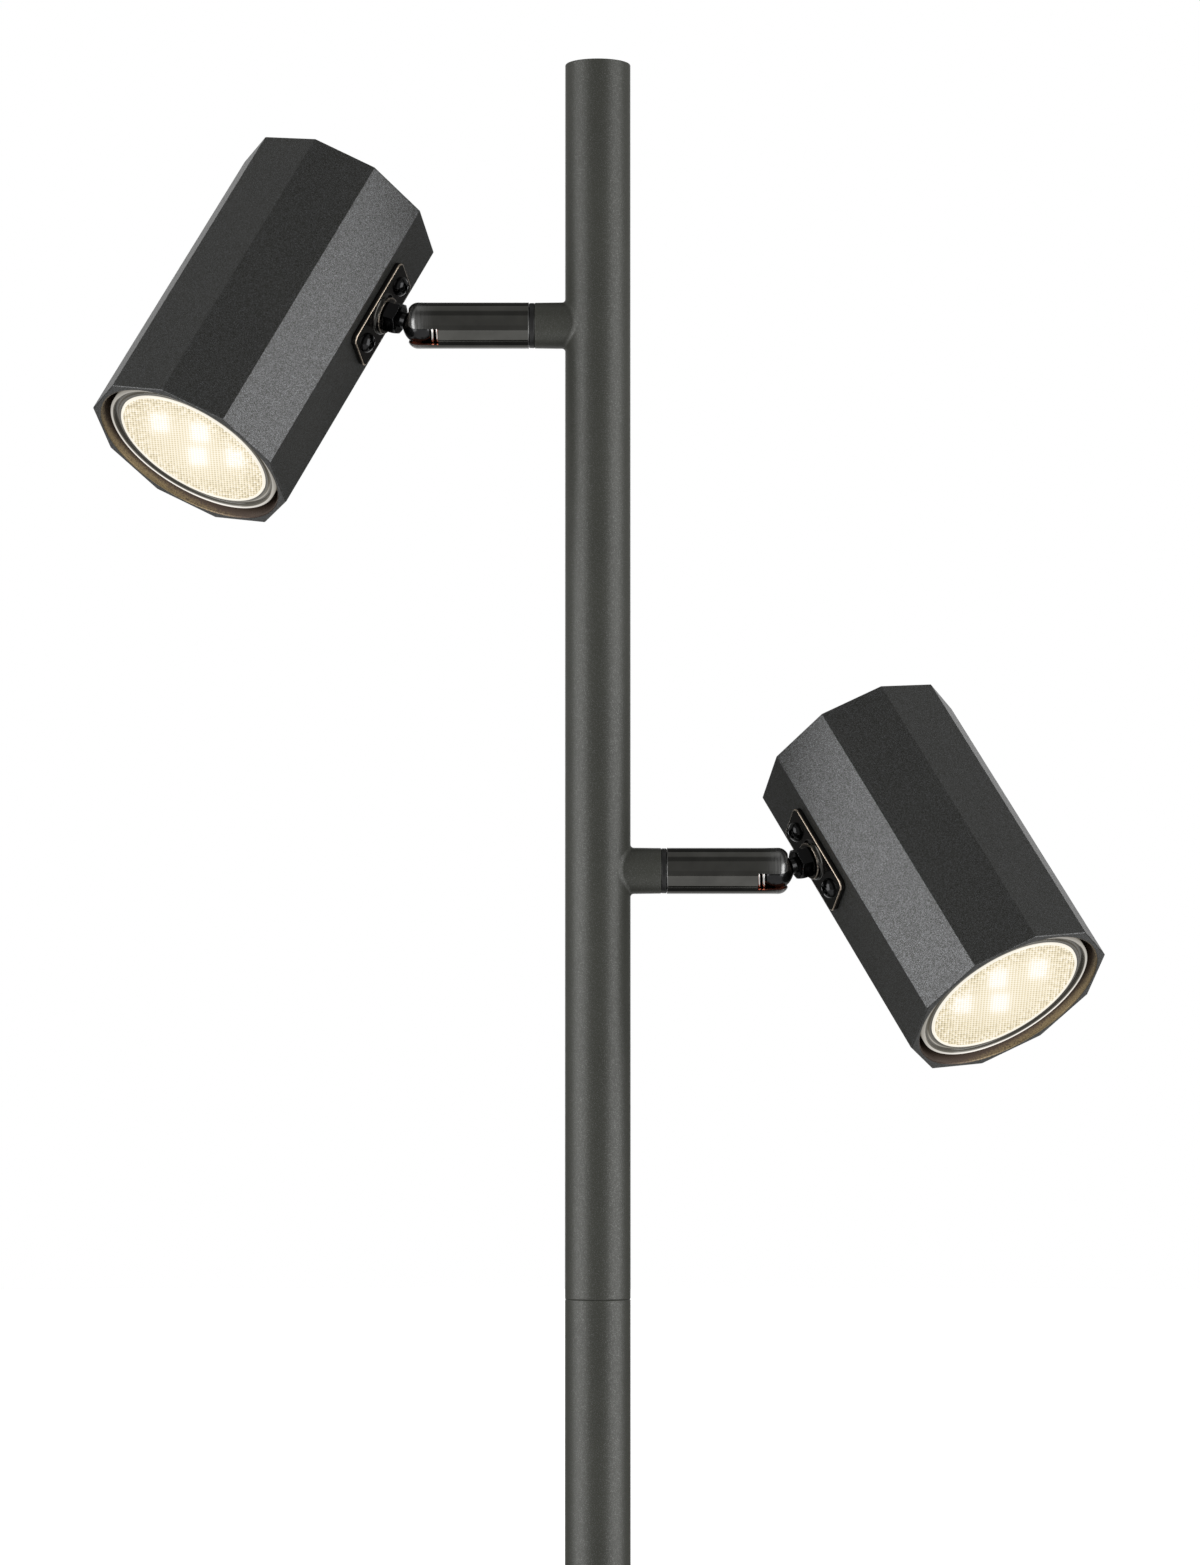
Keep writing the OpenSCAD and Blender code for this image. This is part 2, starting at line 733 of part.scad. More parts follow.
module lampholder(i) {
    color("#efece4") in_head(i) difference() {
        z_rod(holder_front, bridge_at, holder_d / 2);
        pair(pin_spacing, [1, 0, 0])
            z_rod(holder_front - over, lamp_back + pin_len + seat_gap, pin_head_d / 2 + seat_gap);
        pair(holder_screw_spacing, [0, 1, 0])
            z_rod(bridge_at - holder_h / 2, boss_at, screw_d / 2 + thread_gap);
    }
}

// Lamp

// Section of the lamp's housing from its axis outwards, with the stepped front ring
module housing_section() {
    neck_r = lamp_neck_d / 2;
    neck_at = lamp_len - lamp_neck_len;
    step_h = lens_t / 2;
    difference() {
        polygon([[0, 0], [lamp_r, 0], [lamp_r, lamp_ring_h], [neck_r, neck_at], [neck_r, lamp_len],
            [0, lamp_len]]);
        square([lens_r - lens_ledge, lamp_cavity]);
        square([lens_r + turn_gap, lens_t]);
        translate([lens_r + lamp_step, 0]) square([lamp_step, step_h]);
        square([lens_r + 2 * lamp_step, step_h / 2]);
    }
}

module lamp_housing(i) {
    color("#b8b8b4") in_head(i) translate([0, 0, lamp_recess]) difference() {
        rotate_extrude() housing_section();
        pair(pin_spacing, [1, 0, 0]) z_rod(lamp_len - pin_len, lamp_len + over, pin_d / 2 + thread_gap);
    }
}

module lamp_pins(i) {
    color("#c8b27a") in_head(i) pair(pin_spacing, [1, 0, 0]) {
        z_rod(lamp_back - pin_len, lamp_back + pin_len, pin_d / 2);
        z_rod(lamp_back + pin_len / 2, lamp_back + pin_len, pin_head_d / 2);
    }
}

module led_board(i) {
    color("#f2f0e8") in_head(i) translate([0, 0, lamp_recess + lamp_cavity - board_t]) {
        cylinder(h = board_t, r = lens_r - lens_ledge - seat_gap);
        for (k = [0 : led_count - 1]) rotate([0, 0, 360 * k / led_count])
            translate([led_circle_d / 2, 0, -led_h]) cylinder(h = led_h + board_t / 2, r = led_d / 2);
    }
}

module lamp_lens(i) {
    color("#fff3d6") in_head(i) z_rod(lamp_recess, lamp_recess + lens_t, lens_r);
}

module head_leads(i) {
    color("#e4e2dc") on_head(i) pair(head_lead_d + seat_gap, [0, 1, 0])
        x_rod(stud_end + seat_gap, head_x - holder_d / 2, head_lead_d / 2);
}

base_cover();
base_weight();
base_pad();
base_stem();
base_washer();
base_nut();
cord_gland();
for (k = [1 : section_count]) pole_section(k);
foot_bush();
joint_bushes();
joint_nipples();
top_plug();
pole_lead();
for (i = [0, 1]) {
    side = SIDES[i];
    arm_sleeve(i);
    swivel_washer(i);
    arm_nipple(i);
    arm_nut(i);
    arm_bush(i);
    socket_arm(i);
    spring_seat(i);
    joint_spring(i);
    ball_stud(i);
    lock_nut(i);
    stud_nut(i);
    head_bracket(i);
    bracket_screws(i);
    head_shell(i);
    holder_bridge(i);
    holder_screws(i);
    lampholder(i);
    lamp_housing(i);
    lamp_pins(i);
    led_board(i);
    lamp_lens(i);
    head_leads(i);
}
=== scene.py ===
"""Looks of a floor lamp with two adjustable spotlight heads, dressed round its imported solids.

Sizes are in millimetres in the frames of the pieces, and meshes are in metres in the frame of the
solids: the origin is on the floor at the pole's axis, +Z is up and the arms lie along -X and +X.
"""

from __future__ import annotations

import json
import logging
import math
from dataclasses import dataclass, field
from enum import Enum
from typing import Any, Iterable, Sequence

import bmesh
import bpy
import numpy as np
from numpy.typing import NDArray
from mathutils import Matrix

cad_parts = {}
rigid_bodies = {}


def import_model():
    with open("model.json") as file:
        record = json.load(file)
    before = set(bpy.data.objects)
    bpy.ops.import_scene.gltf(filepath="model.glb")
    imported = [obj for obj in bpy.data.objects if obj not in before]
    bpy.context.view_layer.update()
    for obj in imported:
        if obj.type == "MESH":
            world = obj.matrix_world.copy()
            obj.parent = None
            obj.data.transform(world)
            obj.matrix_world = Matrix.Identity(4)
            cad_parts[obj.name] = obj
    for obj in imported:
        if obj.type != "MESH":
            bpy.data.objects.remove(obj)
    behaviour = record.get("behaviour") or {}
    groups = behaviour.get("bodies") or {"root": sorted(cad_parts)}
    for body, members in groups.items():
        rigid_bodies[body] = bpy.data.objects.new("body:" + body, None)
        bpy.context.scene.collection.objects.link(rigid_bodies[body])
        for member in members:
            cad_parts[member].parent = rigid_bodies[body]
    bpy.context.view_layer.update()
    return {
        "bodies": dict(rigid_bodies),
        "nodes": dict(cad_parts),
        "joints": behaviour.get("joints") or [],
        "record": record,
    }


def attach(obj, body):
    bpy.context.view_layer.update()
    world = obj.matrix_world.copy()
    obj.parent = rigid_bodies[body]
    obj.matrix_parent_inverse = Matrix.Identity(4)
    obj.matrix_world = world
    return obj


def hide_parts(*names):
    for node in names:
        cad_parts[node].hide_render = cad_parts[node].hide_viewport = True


Array = NDArray[np.float64]
Colour = tuple[float, float, float]
Socket = bpy.types.NodeSocket

MM = 0.001
QUARTER = math.pi / 2
WHITE = (1.0, 1.0, 1.0)
BLACK = (0.0, 0.0, 0.0)
WELD_GRID = 1e-4  # Points that fall together on a grid of this many millimetres are one point.
SHARP_DEGREES = 38.0  # Edges that bend more than this stay sharp.
ARC_STEPS = 6  # Points on the arc of a rounded corner.
RING_COUNT = 160  # Angles round the lamp.
LOG = logging.getLogger("lamp")


class Axis(Enum):
    """An axis to turn about."""

    X = 0
    Y = 1
    Z = 2


class Side(Enum):
    """One of the two arms with its head."""

    UPPER = "upper"
    LOWER = "lower"


class Part(Enum):
    """What a piece moves with: the stand, or a part of one limb."""

    STAND = "stand"
    ARM = "arm"
    STUD = "stud"
    HEAD = "head"


# Turn of each head on its stud at rest, in degrees.
HEAD_TURN = {Side.UPPER: -22.2, Side.LOWER: 23.0}


# Frames


def turned(axis: Axis, degrees: float) -> Array:
    """Matrix of a right-handed turn.

    Args:
        axis: The axis that stays in place.
        degrees: The angle of the turn.

    Returns:
        The 3 by 3 matrix, cosines on the turned plane's diagonal and plus and minus the sine beside it.
    """
    angle = math.radians(degrees)
    i, j = (axis.value + 1) % 3, (axis.value + 2) % 3
    matrix = np.eye(3)
    matrix[[i, j], [i, j]] = math.cos(angle)
    matrix[i, j], matrix[j, i] = -math.sin(angle), math.sin(angle)
    return matrix


UPRIGHT = turned(Axis.Y, -90.0)


@dataclass(frozen=True)
class Place:
    """A turned and shifted frame: a local point p lies at turn times p plus origin."""

    turn: Array = field(default_factory=lambda: np.eye(3))
    origin: Array = field(default_factory=lambda: np.zeros(3))

    def of(self, points: Array) -> Array:
        """Local points in the frame of the solids."""
        return points @ self.turn.T + self.origin

    def inside(self, turn: Array, shift: Sequence[float] = (0.0, 0.0, 0.0)) -> Place:
        """A frame given within this one, shifted first and then turned."""
        return Place(self.turn @ turn, self.of(np.asarray(shift, float)))


@dataclass(frozen=True)
class Rider:
    """Name, body and replaced node of a new piece, and its finishes with the record's slot first."""

    name: str
    body: str
    node: str
    finishes: tuple[str, ...]


@dataclass(frozen=True)
class Limb:
    """Frames of one arm and its head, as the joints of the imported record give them.

    Each frame's X axis points away from the pole: arm is fixed to the pole, socket turns with the arm,
    stud tilts with the ball, head turns on the stud, and lamp lies on the head's own axis with Z from the
    lens to the rear.
    """

    side: Side
    arm: Place
    socket: Place
    stud: Place
    head: Place
    lamp: Place

    @property
    def flip(self) -> float:
        """1, or -1 on the lower limb, where patterns are mirrored."""
        return 1.0 if self.side is Side.UPPER else -1.0

    def rider(self, name: str, part: Part, node: str, *finishes: str) -> Rider:
        """One piece of this limb.

        Args:
            name: The piece's name without its side.
            part: What it moves with.
            node: The node that it stands for, without its side.
            finishes: Names of its finishes, the record's slot first.

        Returns:
            The rider.
        """
        side = self.side.value
        body = part.value if part is Part.STAND else f"{side}_{part.value}"
        return Rider(f"{name}_{side}", body, f"{node}_{side}", finishes)


def limb_from_joints(joints: Iterable[dict[str, Any]], side: Side) -> Limb:
    """Builds a limb's frames from its three hinges, which all pass through the ball's centre.

    Args:
        joints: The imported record's joints.
        side: The limb.

    Returns:
        The limb.
    """
    hinge = {joint["name"]: joint for joint in joints}
    turns = [hinge[f"{side.value}_{name}"] for name in ("arm_turn", "head_tilt", "head_turn")]
    along, tilt, out = (np.asarray(joint["axis"], float) for joint in turns)
    pivot = np.asarray(turns[0]["pos_m"], float) / MM
    up = np.array([0.0, 0.0, 1.0])
    root = pivot - Arm.pivot * along
    stud = Place(np.stack([out, tilt, np.cross(out, tilt)], 1), pivot)
    head = stud.inside(turned(Axis.X, HEAD_TURN[side]))
    return Limb(
        side=side,
        arm=Place(np.stack([along, np.cross(up, along), up], 1), root),
        socket=Place(np.stack([along, tilt, np.cross(along, tilt)], 1), root),
        stud=stud,
        head=head,
        lamp=head.inside(np.eye(3), (Head.axis_x, 0.0, -Head.bracket_at)),
    )


# Surfaces


@dataclass
class Shell:
    """Points, the quads between them, a tone at each point, and the number of the finish."""

    points: Array
    quads: NDArray[np.int64]
    tone: Array
    finish: int = 0


Piece = tuple[Rider, Sequence[Shell], Place]


def grid(
    points: Array,
    closed_rows: bool = False,
    closed_cols: bool = True,
    tone: Array | float = 0.0,
    finish: int = 0,
) -> Shell:
    """Quads between the neighbours of a grid of points.

    Args:
        points: Rows by columns by 3.
        closed_rows: Whether the last row joins the first.
        closed_cols: Whether the last column joins the first.
        tone: A value for each point, or one for all.
        finish: Number of the finish.

    Returns:
        The shell.
    """
    rows, cols = points.shape[:2]
    index = np.arange(rows * cols).reshape(rows, cols)
    if closed_rows:
        index = np.concatenate([index, index[:1]], 0)
    if closed_cols:
        index = np.concatenate([index, index[:, :1]], 1)
    corners = (index[:-1, :-1], index[:-1, 1:], index[1:, 1:], index[1:, :-1])
    quads = np.stack(corners, -1).reshape(-1, 4)
    tones = np.broadcast_to(np.asarray(tone, float), (rows, cols)).reshape(-1).copy()
    return Shell(points.reshape(-1, 3), quads, tones, finish)


def circle(count: int) -> Array:
    """Evenly spaced angles of a full turn."""
    return np.arange(count) * 2 * math.pi / count


def quarter(steps: int) -> tuple[Array, Array]:
    """Shares along a quarter circle: 1 minus the cosine, and 1 minus the sine, at each step."""
    swing = np.linspace(0, QUARTER, steps)
    return 1 - np.cos(swing), 1 - np.sin(swing)


def raised(angle: Array, middle: float, power: float) -> Array:
    """A power of the raised cosine of the angle from a middle in degrees: 1 there and 0 opposite."""
    return (0.5 + 0.5 * np.cos(angle - math.radians(middle))) ** power


def swept(along: Array, radius: Array, first: Array, second: Array) -> Array:
    """Points (along, radius times first, radius times second), where those are a cosine and a sine."""
    return np.stack([along + 0 * first, radius * first, radius * second], -1)


def rounded(
    corners: Sequence[Sequence[float]] | Array, radii: Sequence[float] | Array, steps: int = ARC_STEPS
) -> Array:
    """A closed outline whose corners are cut back by arcs.

    Each arc touches both sides of its corner: it starts and ends at radius over the tangent of half the
    corner's angle from the corner, and its points swing about the arc's centre between the two.

    Args:
        corners: The outline's corners in order.
        radii: Radius at each corner; 0 keeps the corner.
        steps: Points on each arc.

    Returns:
        The points, as (corners times steps) by 2.
    """
    at = np.asarray(corners, float)
    radius = np.asarray(radii, float)[:, None]
    back, on = np.roll(at, 1, 0) - at, np.roll(at, -1, 0) - at
    back /= np.linalg.norm(back, axis=1, keepdims=True)
    on /= np.linalg.norm(on, axis=1, keepdims=True)
    half = np.arccos(np.clip((back * on).sum(1, keepdims=True), -1, 1)) / 2
    cut = radius / np.tan(half)
    middle = back + on
    centre = at + middle / np.linalg.norm(middle, axis=1, keepdims=True) * radius / np.sin(half)
    first, last = at + back * cut - centre, at + on * cut - centre
    swing = (math.pi - 2 * half)[:, None]
    share = np.linspace(0, 1, steps)[None, :, None]
    arc = np.sin((1 - share) * swing) * first[:, None] + np.sin(share * swing) * last[:, None]
    return (centre[:, None] + arc / np.sin(swing)).reshape(-1, 2)


def revolve(profile: Array, count: int, tone: Array | float = 0.0, closed: bool = True) -> Shell:
    """Carries a profile round the X axis: (x, r) becomes (x, r cos a, r sin a) at each angle a.

    Args:
        profile: Points by 2, each a place along X and a radius.
        count: Number of angles.
        tone: A value for each profile point and angle, or one for all.
        closed: Whether the profile's last point joins its first.

    Returns:
        The shell.
    """
    angle = circle(count)
    points = swept(profile[:, :1], profile[:, 1:], np.cos(angle), np.sin(angle))
    return grid(points, closed_rows=closed, tone=tone)


def hoop(
    span: tuple[float, float],
    radii: tuple[float, float],
    edges: Sequence[float],
    count: int,
    tone: float = 0.0,
) -> Shell:
    """A rectangle with rounded corners, carried round the X axis.

    Args:
        span: Where it starts and ends along X.
        radii: Its inner and outer radius.
        edges: Rounding of its corners, from the inner one at the start.
        count: Number of angles.
        tone: One value for all points.

    Returns:
        The shell.
    """
    (low, high), (inner, outer) = span, radii
    corners = ((low, inner), (low, outer), (high, outer), (high, inner))
    return revolve(rounded(corners, edges), count, tone)


def weld(shells: Sequence[Shell]) -> tuple[Array, list[list[int]], Array, list[int]]:
    """Joins shells at the points that they share, and drops the quads that collapse.

    Args:
        shells: The shells of one piece.

    Returns:
        Points, faces of three or four points, the tone of each point, and the finish of each face.
    """
    shifts = np.cumsum([0] + [len(shell.points) for shell in shells[:-1]])
    points = np.concatenate([shell.points for shell in shells])
    tones = np.concatenate([shell.tone for shell in shells])
    quads = np.concatenate([shell.quads + shift for shell, shift in zip(shells, shifts)])
    finish = np.concatenate([np.full(len(shell.quads), shell.finish) for shell in shells])
    cells = np.round(points / WELD_GRID)
    _, first, inverse = np.unique(cells, axis=0, return_index=True, return_inverse=True)
    quads = inverse.reshape(-1)[quads]
    same = quads == np.roll(quads, -1, 1)
    whole = ~same.any(1)
    three = same.sum(1) == 1
    order = (same[three].argmax(1)[:, None] + np.arange(1, 4)) % 4
    faces = quads[whole].tolist() + np.take_along_axis(quads[three], order, axis=1).tolist()
    return points[first], faces, tones[first], finish[whole].tolist() + finish[three].tolist()


def make_piece(rider: Rider, shells: Sequence[Shell], place: Place, finishes: Finishes) -> None:
    """Joins shells into one mesh in the frame of the solids and makes it ride on its body.

    Args:
        rider: Name, body, replaced node and finishes.
        shells: The surfaces, in millimetres in the piece's own frame.
        place: That frame.
        finishes: All finishes of the lamp.
    """
    points, faces, tones, numbers = weld(shells)
    mesh = bpy.data.meshes.new(rider.name)
    mesh.from_pydata((place.of(points) * MM).tolist(), [], faces)
    tone = mesh.attributes.new("tone", "FLOAT", "POINT")
    tone.data.foreach_set("value", tones.astype(np.float32))
    for name in rider.finishes:
        mesh.materials.append(finishes[name])
    mesh.polygons.foreach_set("material_index", np.asarray(numbers, np.int32))
    work = bmesh.new()
    work.from_mesh(mesh)
    bmesh.ops.recalc_face_normals(work, faces=work.faces)
    work.to_mesh(mesh)
    work.free()
    mesh.shade_smooth()
    mesh.set_sharp_from_angle(angle=math.radians(SHARP_DEGREES))
    piece = bpy.data.objects.new(rider.name, mesh)
    bpy.context.scene.collection.objects.link(piece)
    normals = piece.modifiers.new("weighted_normals", "WEIGHTED_NORMAL")
    normals.keep_sharp = True
    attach(piece, rider.body)
    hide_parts(rider.node)
    LOG.info("%s: %d faces on %s", rider.name, len(faces), rider.body)


class Assembly:
    """A sub-assembly of the lamp, whose pieces are built and dressed together."""

    def pieces(self) -> list[Piece]:
        """Rider, surfaces and frame of each piece."""
        raise NotImplementedError

    def build(self, finishes: Finishes) -> None:
        """Makes and dresses every piece."""
        for rider, shells, place in self.pieces():
            make_piece(rider, shells, place, finishes)


# Finishes


def opaque(colour: Colour) -> tuple[float, float, float, float]:
    """A colour with full cover."""
    return (*colour, 1.0)


class NodeTable:
    """Short way to write the nodes of one material or world."""

    def __init__(self, owner: bpy.types.Material | bpy.types.World) -> None:
        """Starts with no nodes.

        Args:
            owner: What the nodes belong to.
        """
        owner.use_nodes = True
        self.owner = owner
        self.tree = owner.node_tree
        self.tree.nodes.clear()

    def put(self, value: Any, socket: Socket) -> None:
        """Links an output to an input, or sets the input's own value.

        Args:
            value: An output socket or a plain value.
            socket: The input.
        """
        if isinstance(value, Socket):
            self.tree.links.new(value, socket)
        else:
            socket.default_value = value

    def add(self, kind: str, inputs: dict[Any, Any] | None = None, **options: Any) -> bpy.types.Node:
        """Adds a node.

        Args:
            kind: The node's type.
            inputs: Values or output sockets for its inputs, by name or number.
            options: Its own settings.

        Returns:
            The node.
        """
        node = self.tree.nodes.new(kind)
        for name, value in options.items():
            setattr(node, name, value)
        for name, value in (inputs or {}).items():
            self.put(value, node.inputs[name])
        return node

    def place(self) -> Socket:
        """Object coordinates, in metres."""
        return self.add("ShaderNodeTexCoord").outputs["Object"]

    def noise(self, size_mm: float, detail: float = 3.0) -> Socket:
        """Soft noise with features of about one size."""
        inputs = {"Vector": self.place(), "Scale": 1 / (size_mm * MM), "Detail": detail}
        return self.add("ShaderNodeTexNoise", inputs).outputs["Fac"]

    def streaks(self, along_mm: float, across_mm: float) -> Socket:
        """Noise that is drawn out across the X axis, like the marks of a brush round an arm.

        Args:
            along_mm: Size of a mark along X.
            across_mm: Its size across X.

        Returns:
            The noise.
        """
        scale = (1 / (along_mm * MM), 1 / (across_mm * MM), 1 / (across_mm * MM))
        drawn = self.add("ShaderNodeMapping", {"Vector": self.place(), "Scale": scale})
        inputs = {"Vector": drawn.outputs["Vector"], "Scale": 1.0, "Detail": 2.0}
        return self.add("ShaderNodeTexNoise", inputs).outputs["Fac"]

    def math(self, operation: str, first: Any, second: Any) -> Socket:
        """One sum of two values or sockets."""
        return self.add("ShaderNodeMath", {0: first, 1: second}, operation=operation).outputs[0]

    def cells(self, size_mm: float) -> Socket:
        """A random value for each cell of one size.

        Args:
            size_mm: The size of a cell.

        Returns:
            The value.
        """
        inputs = {"Vector": self.place(), "Scale": 1 / (size_mm * MM)}
        colour = self.add("ShaderNodeTexVoronoi", inputs).outputs["Color"]
        return self.add("ShaderNodeSeparateColor", {"Color": colour}).outputs["Red"]

    def tone(self) -> Socket:
        """The tone that the mesh carries at its points."""
        return self.add("ShaderNodeAttribute", attribute_name="tone").outputs["Fac"]

    def spread(
        self, value: Socket, low: float, high: float, start: float = 0.3, end: float = 0.7
    ) -> Socket:
        """Stretches a value from start and end to low and high, without going past them."""
        inputs = {"Value": value, "From Min": start, "From Max": end, "To Min": low, "To Max": high}
        return self.add("ShaderNodeMapRange", inputs).outputs["Result"]

    def ramp(self, value: Socket, stops: Sequence[tuple[float, Colour]]) -> Socket:
        """Colours by a value, blended between stops.

        Args:
            value: The value.
            stops: A value and its colour each, in order.

        Returns:
            The colour.
        """
        node = self.add("ShaderNodeValToRGB", {"Fac": value})
        elements = node.color_ramp.elements
        while len(elements) < len(stops):
            elements.new(1.0)
        for element, (at, colour) in zip(elements, stops):
            element.position = at
            element.color = opaque(colour)
        return node.outputs["Color"]

    def mixed(self, value: Socket, low: Colour | Socket, high: Colour | Socket) -> Socket:
        """Blends two colours by a value.

        Args:
            value: 0 for the first colour, 1 for the second.
            low: The first colour.
            high: The second colour.

        Returns:
            The blend.
        """
        node = self.add("ShaderNodeMix", {"Factor": value}, data_type="RGBA")
        for number, colour in ((6, low), (7, high)):
            self.put(colour if isinstance(colour, Socket) else opaque(colour), node.inputs[number])
        return node.outputs[2]

    def tinted(self, value: Socket, colour: Colour, low: float, high: float) -> Socket:
        """A colour that drifts by a noise between a low and a high share of itself."""
        dark, light = (tuple(min(1.0, share * c) for c in colour) for share in (low, high))
        return self.mixed(self.spread(value, 0.0, 1.0), dark, light)

    def bump(self, value: Socket, depth_mm: float, strength: float) -> Socket:
        """A bent normal from a height between 0 and 1."""
        inputs = {"Height": value, "Distance": depth_mm * MM, "Strength": strength}
        return self.add("ShaderNodeBump", inputs).outputs["Normal"]

    def finish(self, inputs: dict[str, Any]) -> bpy.types.Material:
        """Closes the material with one surface shader.

        Args:
            inputs: Values or sockets for the shader's inputs, by name.

        Returns:
            The material.
        """
        shader = self.add("ShaderNodeBsdfPrincipled", inputs)
        self.add("ShaderNodeOutputMaterial", {"Surface": shader.outputs["BSDF"]})
        return self.owner


def material_nodes(name: str) -> NodeTable:
    """The empty table of a new material."""
    return NodeTable(bpy.data.materials.new(name))


@dataclass(frozen=True)
class PowderCoat:
    """Fine satin powder coat with metal flecks that glint under the lights."""

    name: str
    colour: Colour
    fleck_colour: Colour
    fleck_share: float
    roughness: float
    grain_mm: float = 0.22
    cloud_mm: float = 14.0
    fleck_mm: float = 0.11
    fleck_metal: float = 0.85
    drift: float = 0.07
    smoother: float = 0.02
    rougher: float = 0.03
    depth_mm: float = 0.004
    relief: float = 0.25

    def build(self) -> bpy.types.Material:
        """Makes dark coat, scattered bright metal cells, a soft orange-peel and cloudy tone.

        Returns:
            The material.
        """
        nodes = material_nodes(self.name)
        grain = nodes.noise(self.grain_mm, 2.0)
        cloud = nodes.noise(self.cloud_mm, 2.0)
        coat = nodes.tinted(cloud, self.colour, 1 - self.drift, 1 + self.drift)
        share = self.fleck_share
        fleck = nodes.spread(nodes.cells(self.fleck_mm), 0.0, 1.0, 1 - share, 1 - share / 2)
        return nodes.finish(
            {
                "Base Color": nodes.mixed(fleck, coat, self.fleck_colour),
                "Metallic": nodes.spread(fleck, 0.0, self.fleck_metal, 0.0, 1.0),
                "Roughness": nodes.spread(
                    grain, self.roughness - self.smoother, self.roughness + self.rougher
                ),
                "Normal": nodes.bump(grain, self.depth_mm, self.relief),
            }
        )


@dataclass(frozen=True)
class DarkChrome:
    """Polished black chrome with faint haze, brushed and lighter where the mesh's tone is high: brush
    marks towards the mouth, and a painted highlight on the rear chamfer.
    """

    name: str
    colour: Colour
    # Colour of the brush marks, and of the painted highlight on the rear chamfer.
    brushed_and_highlight_colour: Colour
    haze_mm: float = 6.0
    haze_shades: tuple[float, float] = (0.88, 1.15)
    mark_mm: tuple[float, float] = (0.16, 4.0)
    mark_shares: tuple[float, float] = (0.35, 1.2)
    roughness: tuple[float, float] = (0.05, 0.11)
    brushed_roughness: float = 0.26

    def build(self) -> bpy.types.Material:
        """Makes a dark mirror whose roughness drifts in soft smudges, with brush marks by the tone, which
        also paint the rear chamfer's highlight.

        Returns:
            The material.
        """
        nodes = material_nodes(self.name)
        haze = nodes.noise(self.haze_mm, 4.0)
        plain = nodes.tinted(haze, self.colour, *self.haze_shades)
        streaks = nodes.spread(nodes.streaks(*self.mark_mm), *self.mark_shares)
        # Tone times streaks: brushing near the mouth, and a painted highlight on the rear chamfer.
        marks_and_highlight = nodes.math("MULTIPLY", nodes.tone(), streaks)
        brushed = nodes.mixed(nodes.spread(marks_and_highlight, 0.0, 1.0, 0.0, 1.0), plain, self.brushed_and_highlight_colour)
        dull = nodes.spread(marks_and_highlight, 0.0, self.brushed_roughness, 0.0, 1.0)
        roughness = nodes.math("ADD", nodes.spread(haze, *self.roughness), dull)
        return nodes.finish({"Base Color": brushed, "Metallic": 1.0, "Roughness": roughness})


@dataclass(frozen=True)
class WearAndLightPlating:
    """Dark plating that turns lighter where the mesh's tone is high: worn rims with painted highlights
    on the bracket, and painted lamp light in the bore.
    """

    name: str
    colour: Colour
    wear_and_light_colour: Colour
    roughness: float = 0.17
    metallic: float = 1.0
    grain_mm: float = 0.5
    grain_shares: tuple[float, float] = (0.55, 1.15)
    wear_and_light_from: tuple[float, float] = (0.35, 0.75)
    depth_mm: float = 0.004
    relief: float = 0.3

    def build(self) -> bpy.types.Material:
        """Makes plating that the tone, broken up by fine noise, blends into the lighter colour of wear
        and painted light.

        Returns:
            The material.
        """
        nodes = material_nodes(self.name)
        grain = nodes.noise(self.grain_mm)
        broken = nodes.math("MULTIPLY", nodes.tone(), nodes.spread(grain, *self.grain_shares))
        wear_and_light = nodes.spread(broken, 0.0, 1.0, *self.wear_and_light_from)
        return nodes.finish(
            {
                "Base Color": nodes.mixed(wear_and_light, self.colour, self.wear_and_light_colour),
                "Metallic": self.metallic,
                "Roughness": nodes.spread(grain, 0.7 * self.roughness, 1.3 * self.roughness),
                "Normal": nodes.bump(grain, self.depth_mm, self.relief),
            }
        )


@dataclass(frozen=True)
class Grained:
    """A plain material with drifting tone, fine grain and a bump of its own size."""

    name: str
    colour: Colour
    roughness: float
    metallic: float = 0.0
    grain_mm: float = 0.4
    depth_mm: float = 0.01
    drift: float = 0.18
    cloud_grains: float = 24.0
    relief: float = 0.5

    def build(self) -> bpy.types.Material:
        """Makes colour and roughness that follow two noises, with the finer one as the bump.

        Returns:
            The material.
        """
        nodes = material_nodes(self.name)
        grain = nodes.noise(self.grain_mm)
        cloud = nodes.noise(self.grain_mm * self.cloud_grains, 2.0)
        return nodes.finish(
            {
                "Base Color": nodes.tinted(cloud, self.colour, 1 - self.drift, 1 + self.drift),
                "Metallic": self.metallic,
                "Roughness": nodes.spread(grain, 0.85 * self.roughness, min(1.0, 1.2 * self.roughness)),
                "Normal": nodes.bump(grain, self.depth_mm, self.relief),
            }
        )


@dataclass(frozen=True)
class LitLens:
    """Clear plastic that glows by the tone that the mesh carries: the lamp's light from behind, and on
    the front ring painted highlights as well.
    """

    name: str
    stops: tuple[tuple[float, Colour], ...]
    colour: Colour = (0.05, 0.045, 0.035)
    metallic: float = 0.0
    strength: float = 1.0
    grain_mm: float = 0.6
    roughness: tuple[float, float] = (0.08, 0.2)

    def build(self) -> bpy.types.Material:
        """Makes plastic whose own light has the colour that the tone picks between the stops.

        Returns:
            The material.
        """
        nodes = material_nodes(self.name)
        return nodes.finish(
            {
                "Base Color": opaque(self.colour),
                "Metallic": self.metallic,
                "Roughness": nodes.spread(nodes.noise(self.grain_mm), *self.roughness),
                "Emission Color": nodes.ramp(nodes.tone(), self.stops),
                "Emission Strength": self.strength,
            }
        )


